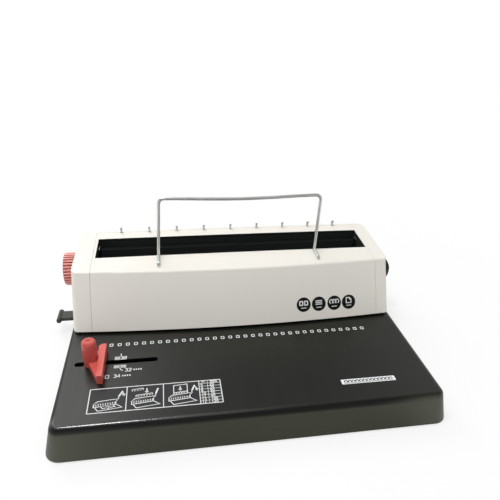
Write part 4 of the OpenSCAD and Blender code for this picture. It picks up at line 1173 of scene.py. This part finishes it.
# %% Floor
PAPER = (0.93, 0.93, 0.93, 1.0)
LEFT_FLOOR = (0.06, 0.20)
RIGHT_FLOOR = (0.13, 0.20)
SHADOW_ROOM = (0.24, 0.60)
FLOOR_HALF = 6.0


def ray_kinds(nodes):
    """Two switches: 1 for rays from the camera, 1 for rays that shiny parts send on."""
    direct = nodes.node("LightPath", out="Is Camera Ray")
    glossy = nodes.node("LightPath", out="Is Glossy Ray")
    through = nodes.node("LightPath", out="Is Transmission Ray")
    return direct, direct.math("MAXIMUM", glossy, through)


def floor_material():
    """Matt paper and white glow, mixed by the kind of ray and the distance from the middle."""
    f = Finish("floor_paper", constants={"Base Color": PAPER})
    paper = cloud(f, 0.004, 3.0)
    f.feed("Roughness", 0.85 + 0.1 * (paper - 0.5))
    away = f.node("VectorMath", {"operation": "LENGTH"}, {0: f.where}, "Value")
    direct, mirrored = ray_kinds(f)
    sideways = axis(f, "X")
    ends = step(f, -1 * sideways, *LEFT_FLOOR) + step(f, sideways, *RIGHT_FLOOR)
    bright = direct + (1 - direct) * (0.05 + 0.95 * ends)
    light = mixed(f, bright, (0.0, 0.0, 0.0, 1.0), (1.0, 1.0, 1.0, 1.0))
    glow = f.node("Emission", None, {"Color": light, "Strength": 1.0})
    seen = direct.math("MAXIMUM", direct, mirrored)
    shown = (0.72 + 0.28 * step(f, away, *SHADOW_ROOM)) * seen
    matt = Value(f, f.shader.outputs[0])
    both = f.node("MixShader", None, {0: shown, 1: matt, 2: glow})
    f.join(f.tree.nodes["Material Output"].inputs["Surface"], both)
    return f.material


across = np.array((-FLOOR_HALF, FLOOR_HALF))
fx, fy = np.meshgrid(across, across)
floor_points = np.stack((fx.ravel(), fy.ravel(), np.zeros(4)), 1)
floor_mesh = bpy.data.meshes.new("floor")
floor_mesh.from_pydata(floor_points.tolist(), [], [(0, 1, 3, 2)])
floor_mesh.materials.append(floor_material())
floor = placed("floor", floor_mesh)
print("floor", 2 * FLOOR_HALF, "m wide")

# %% [markdown]
# ## Sky
# The sky is white to the camera and gives only plain light to the rest, so the machine isn't
# washed out. For shiny parts it is a room: behind the machine a backdrop that is bright at
# the left and at the far right and dim between them, and in front a dimmer room that is
# darkest overhead. An image of a studio would do the same, but three steps are easier to set.

# %% Sky
AMBIENT = 0.57
OVERHEAD = (0.25, 0.55)
DIM_FROM = (-0.25, 0.15)
BRIGHT_FROM = (0.28, 0.55)
BEHIND = (-0.2, 0.5)
world = bpy.data.worlds.new("plain_sky")
scene.world = world
world.use_nodes = True
sky = Nodes(world.node_tree)
background = world.node_tree.nodes["Background"]
background.inputs["Color"].default_value = (1.0, 1.0, 1.0, 1.0)
toward = sky.node("TexCoord", out="Generated")
east, north, up = parts(sky, toward)
room = 0.50 - 0.40 * step(sky, up, *OVERHEAD)
wall = 0.85 - 0.65 * step(sky, east, *DIM_FROM) + 0.80 * step(sky, east, *BRIGHT_FROM)
backdrop = room + step(sky, north, *BEHIND) * (wall - room)
direct, mirrored = ray_kinds(sky)
indirect = AMBIENT + mirrored * (backdrop - AMBIENT)
sky.join(background.inputs["Strength"], indirect + direct * (1.0 - indirect))
print("ambient", AMBIENT)

# %% [markdown]
# ## Lamps
# One large soft box hangs over the machine and gives the top its brightness. A second one,
# behind and to the left, is there for the gloss at the left end of the table. A third, small
# one above draws the thin bright line on the polished rim in front. A sun lamp would be
# simpler, but its hard shadow is none of a studio's.

# %% Lamps
def lamp(name, place, aim, size, power):
    """Square soft box that looks from its place towards a point."""
    data = bpy.data.lights.new(name, "AREA")
    data.size = size
    data.energy = power
    made = placed(name, data)
    made.location = place
    made.rotation_euler = (Vector(aim) - Vector(place)).to_track_quat("-Z", "Y").to_euler()
    print(name, power, "W")


lamp("overhead_box", (-0.10, 0.10, 1.5), (0.0, 0.05, 0.05), 2.0, 5.2)
lamp("gloss_box", (-0.55, 0.80, 1.0), (-0.1, 0.0, 0.05), 0.6, 3.8)
lamp("key_box", (-0.33, -0.05, 1.4), (0.0, 0.0, 0.05), 0.24, 6.4)
scene.view_settings.view_transform = "Standard"
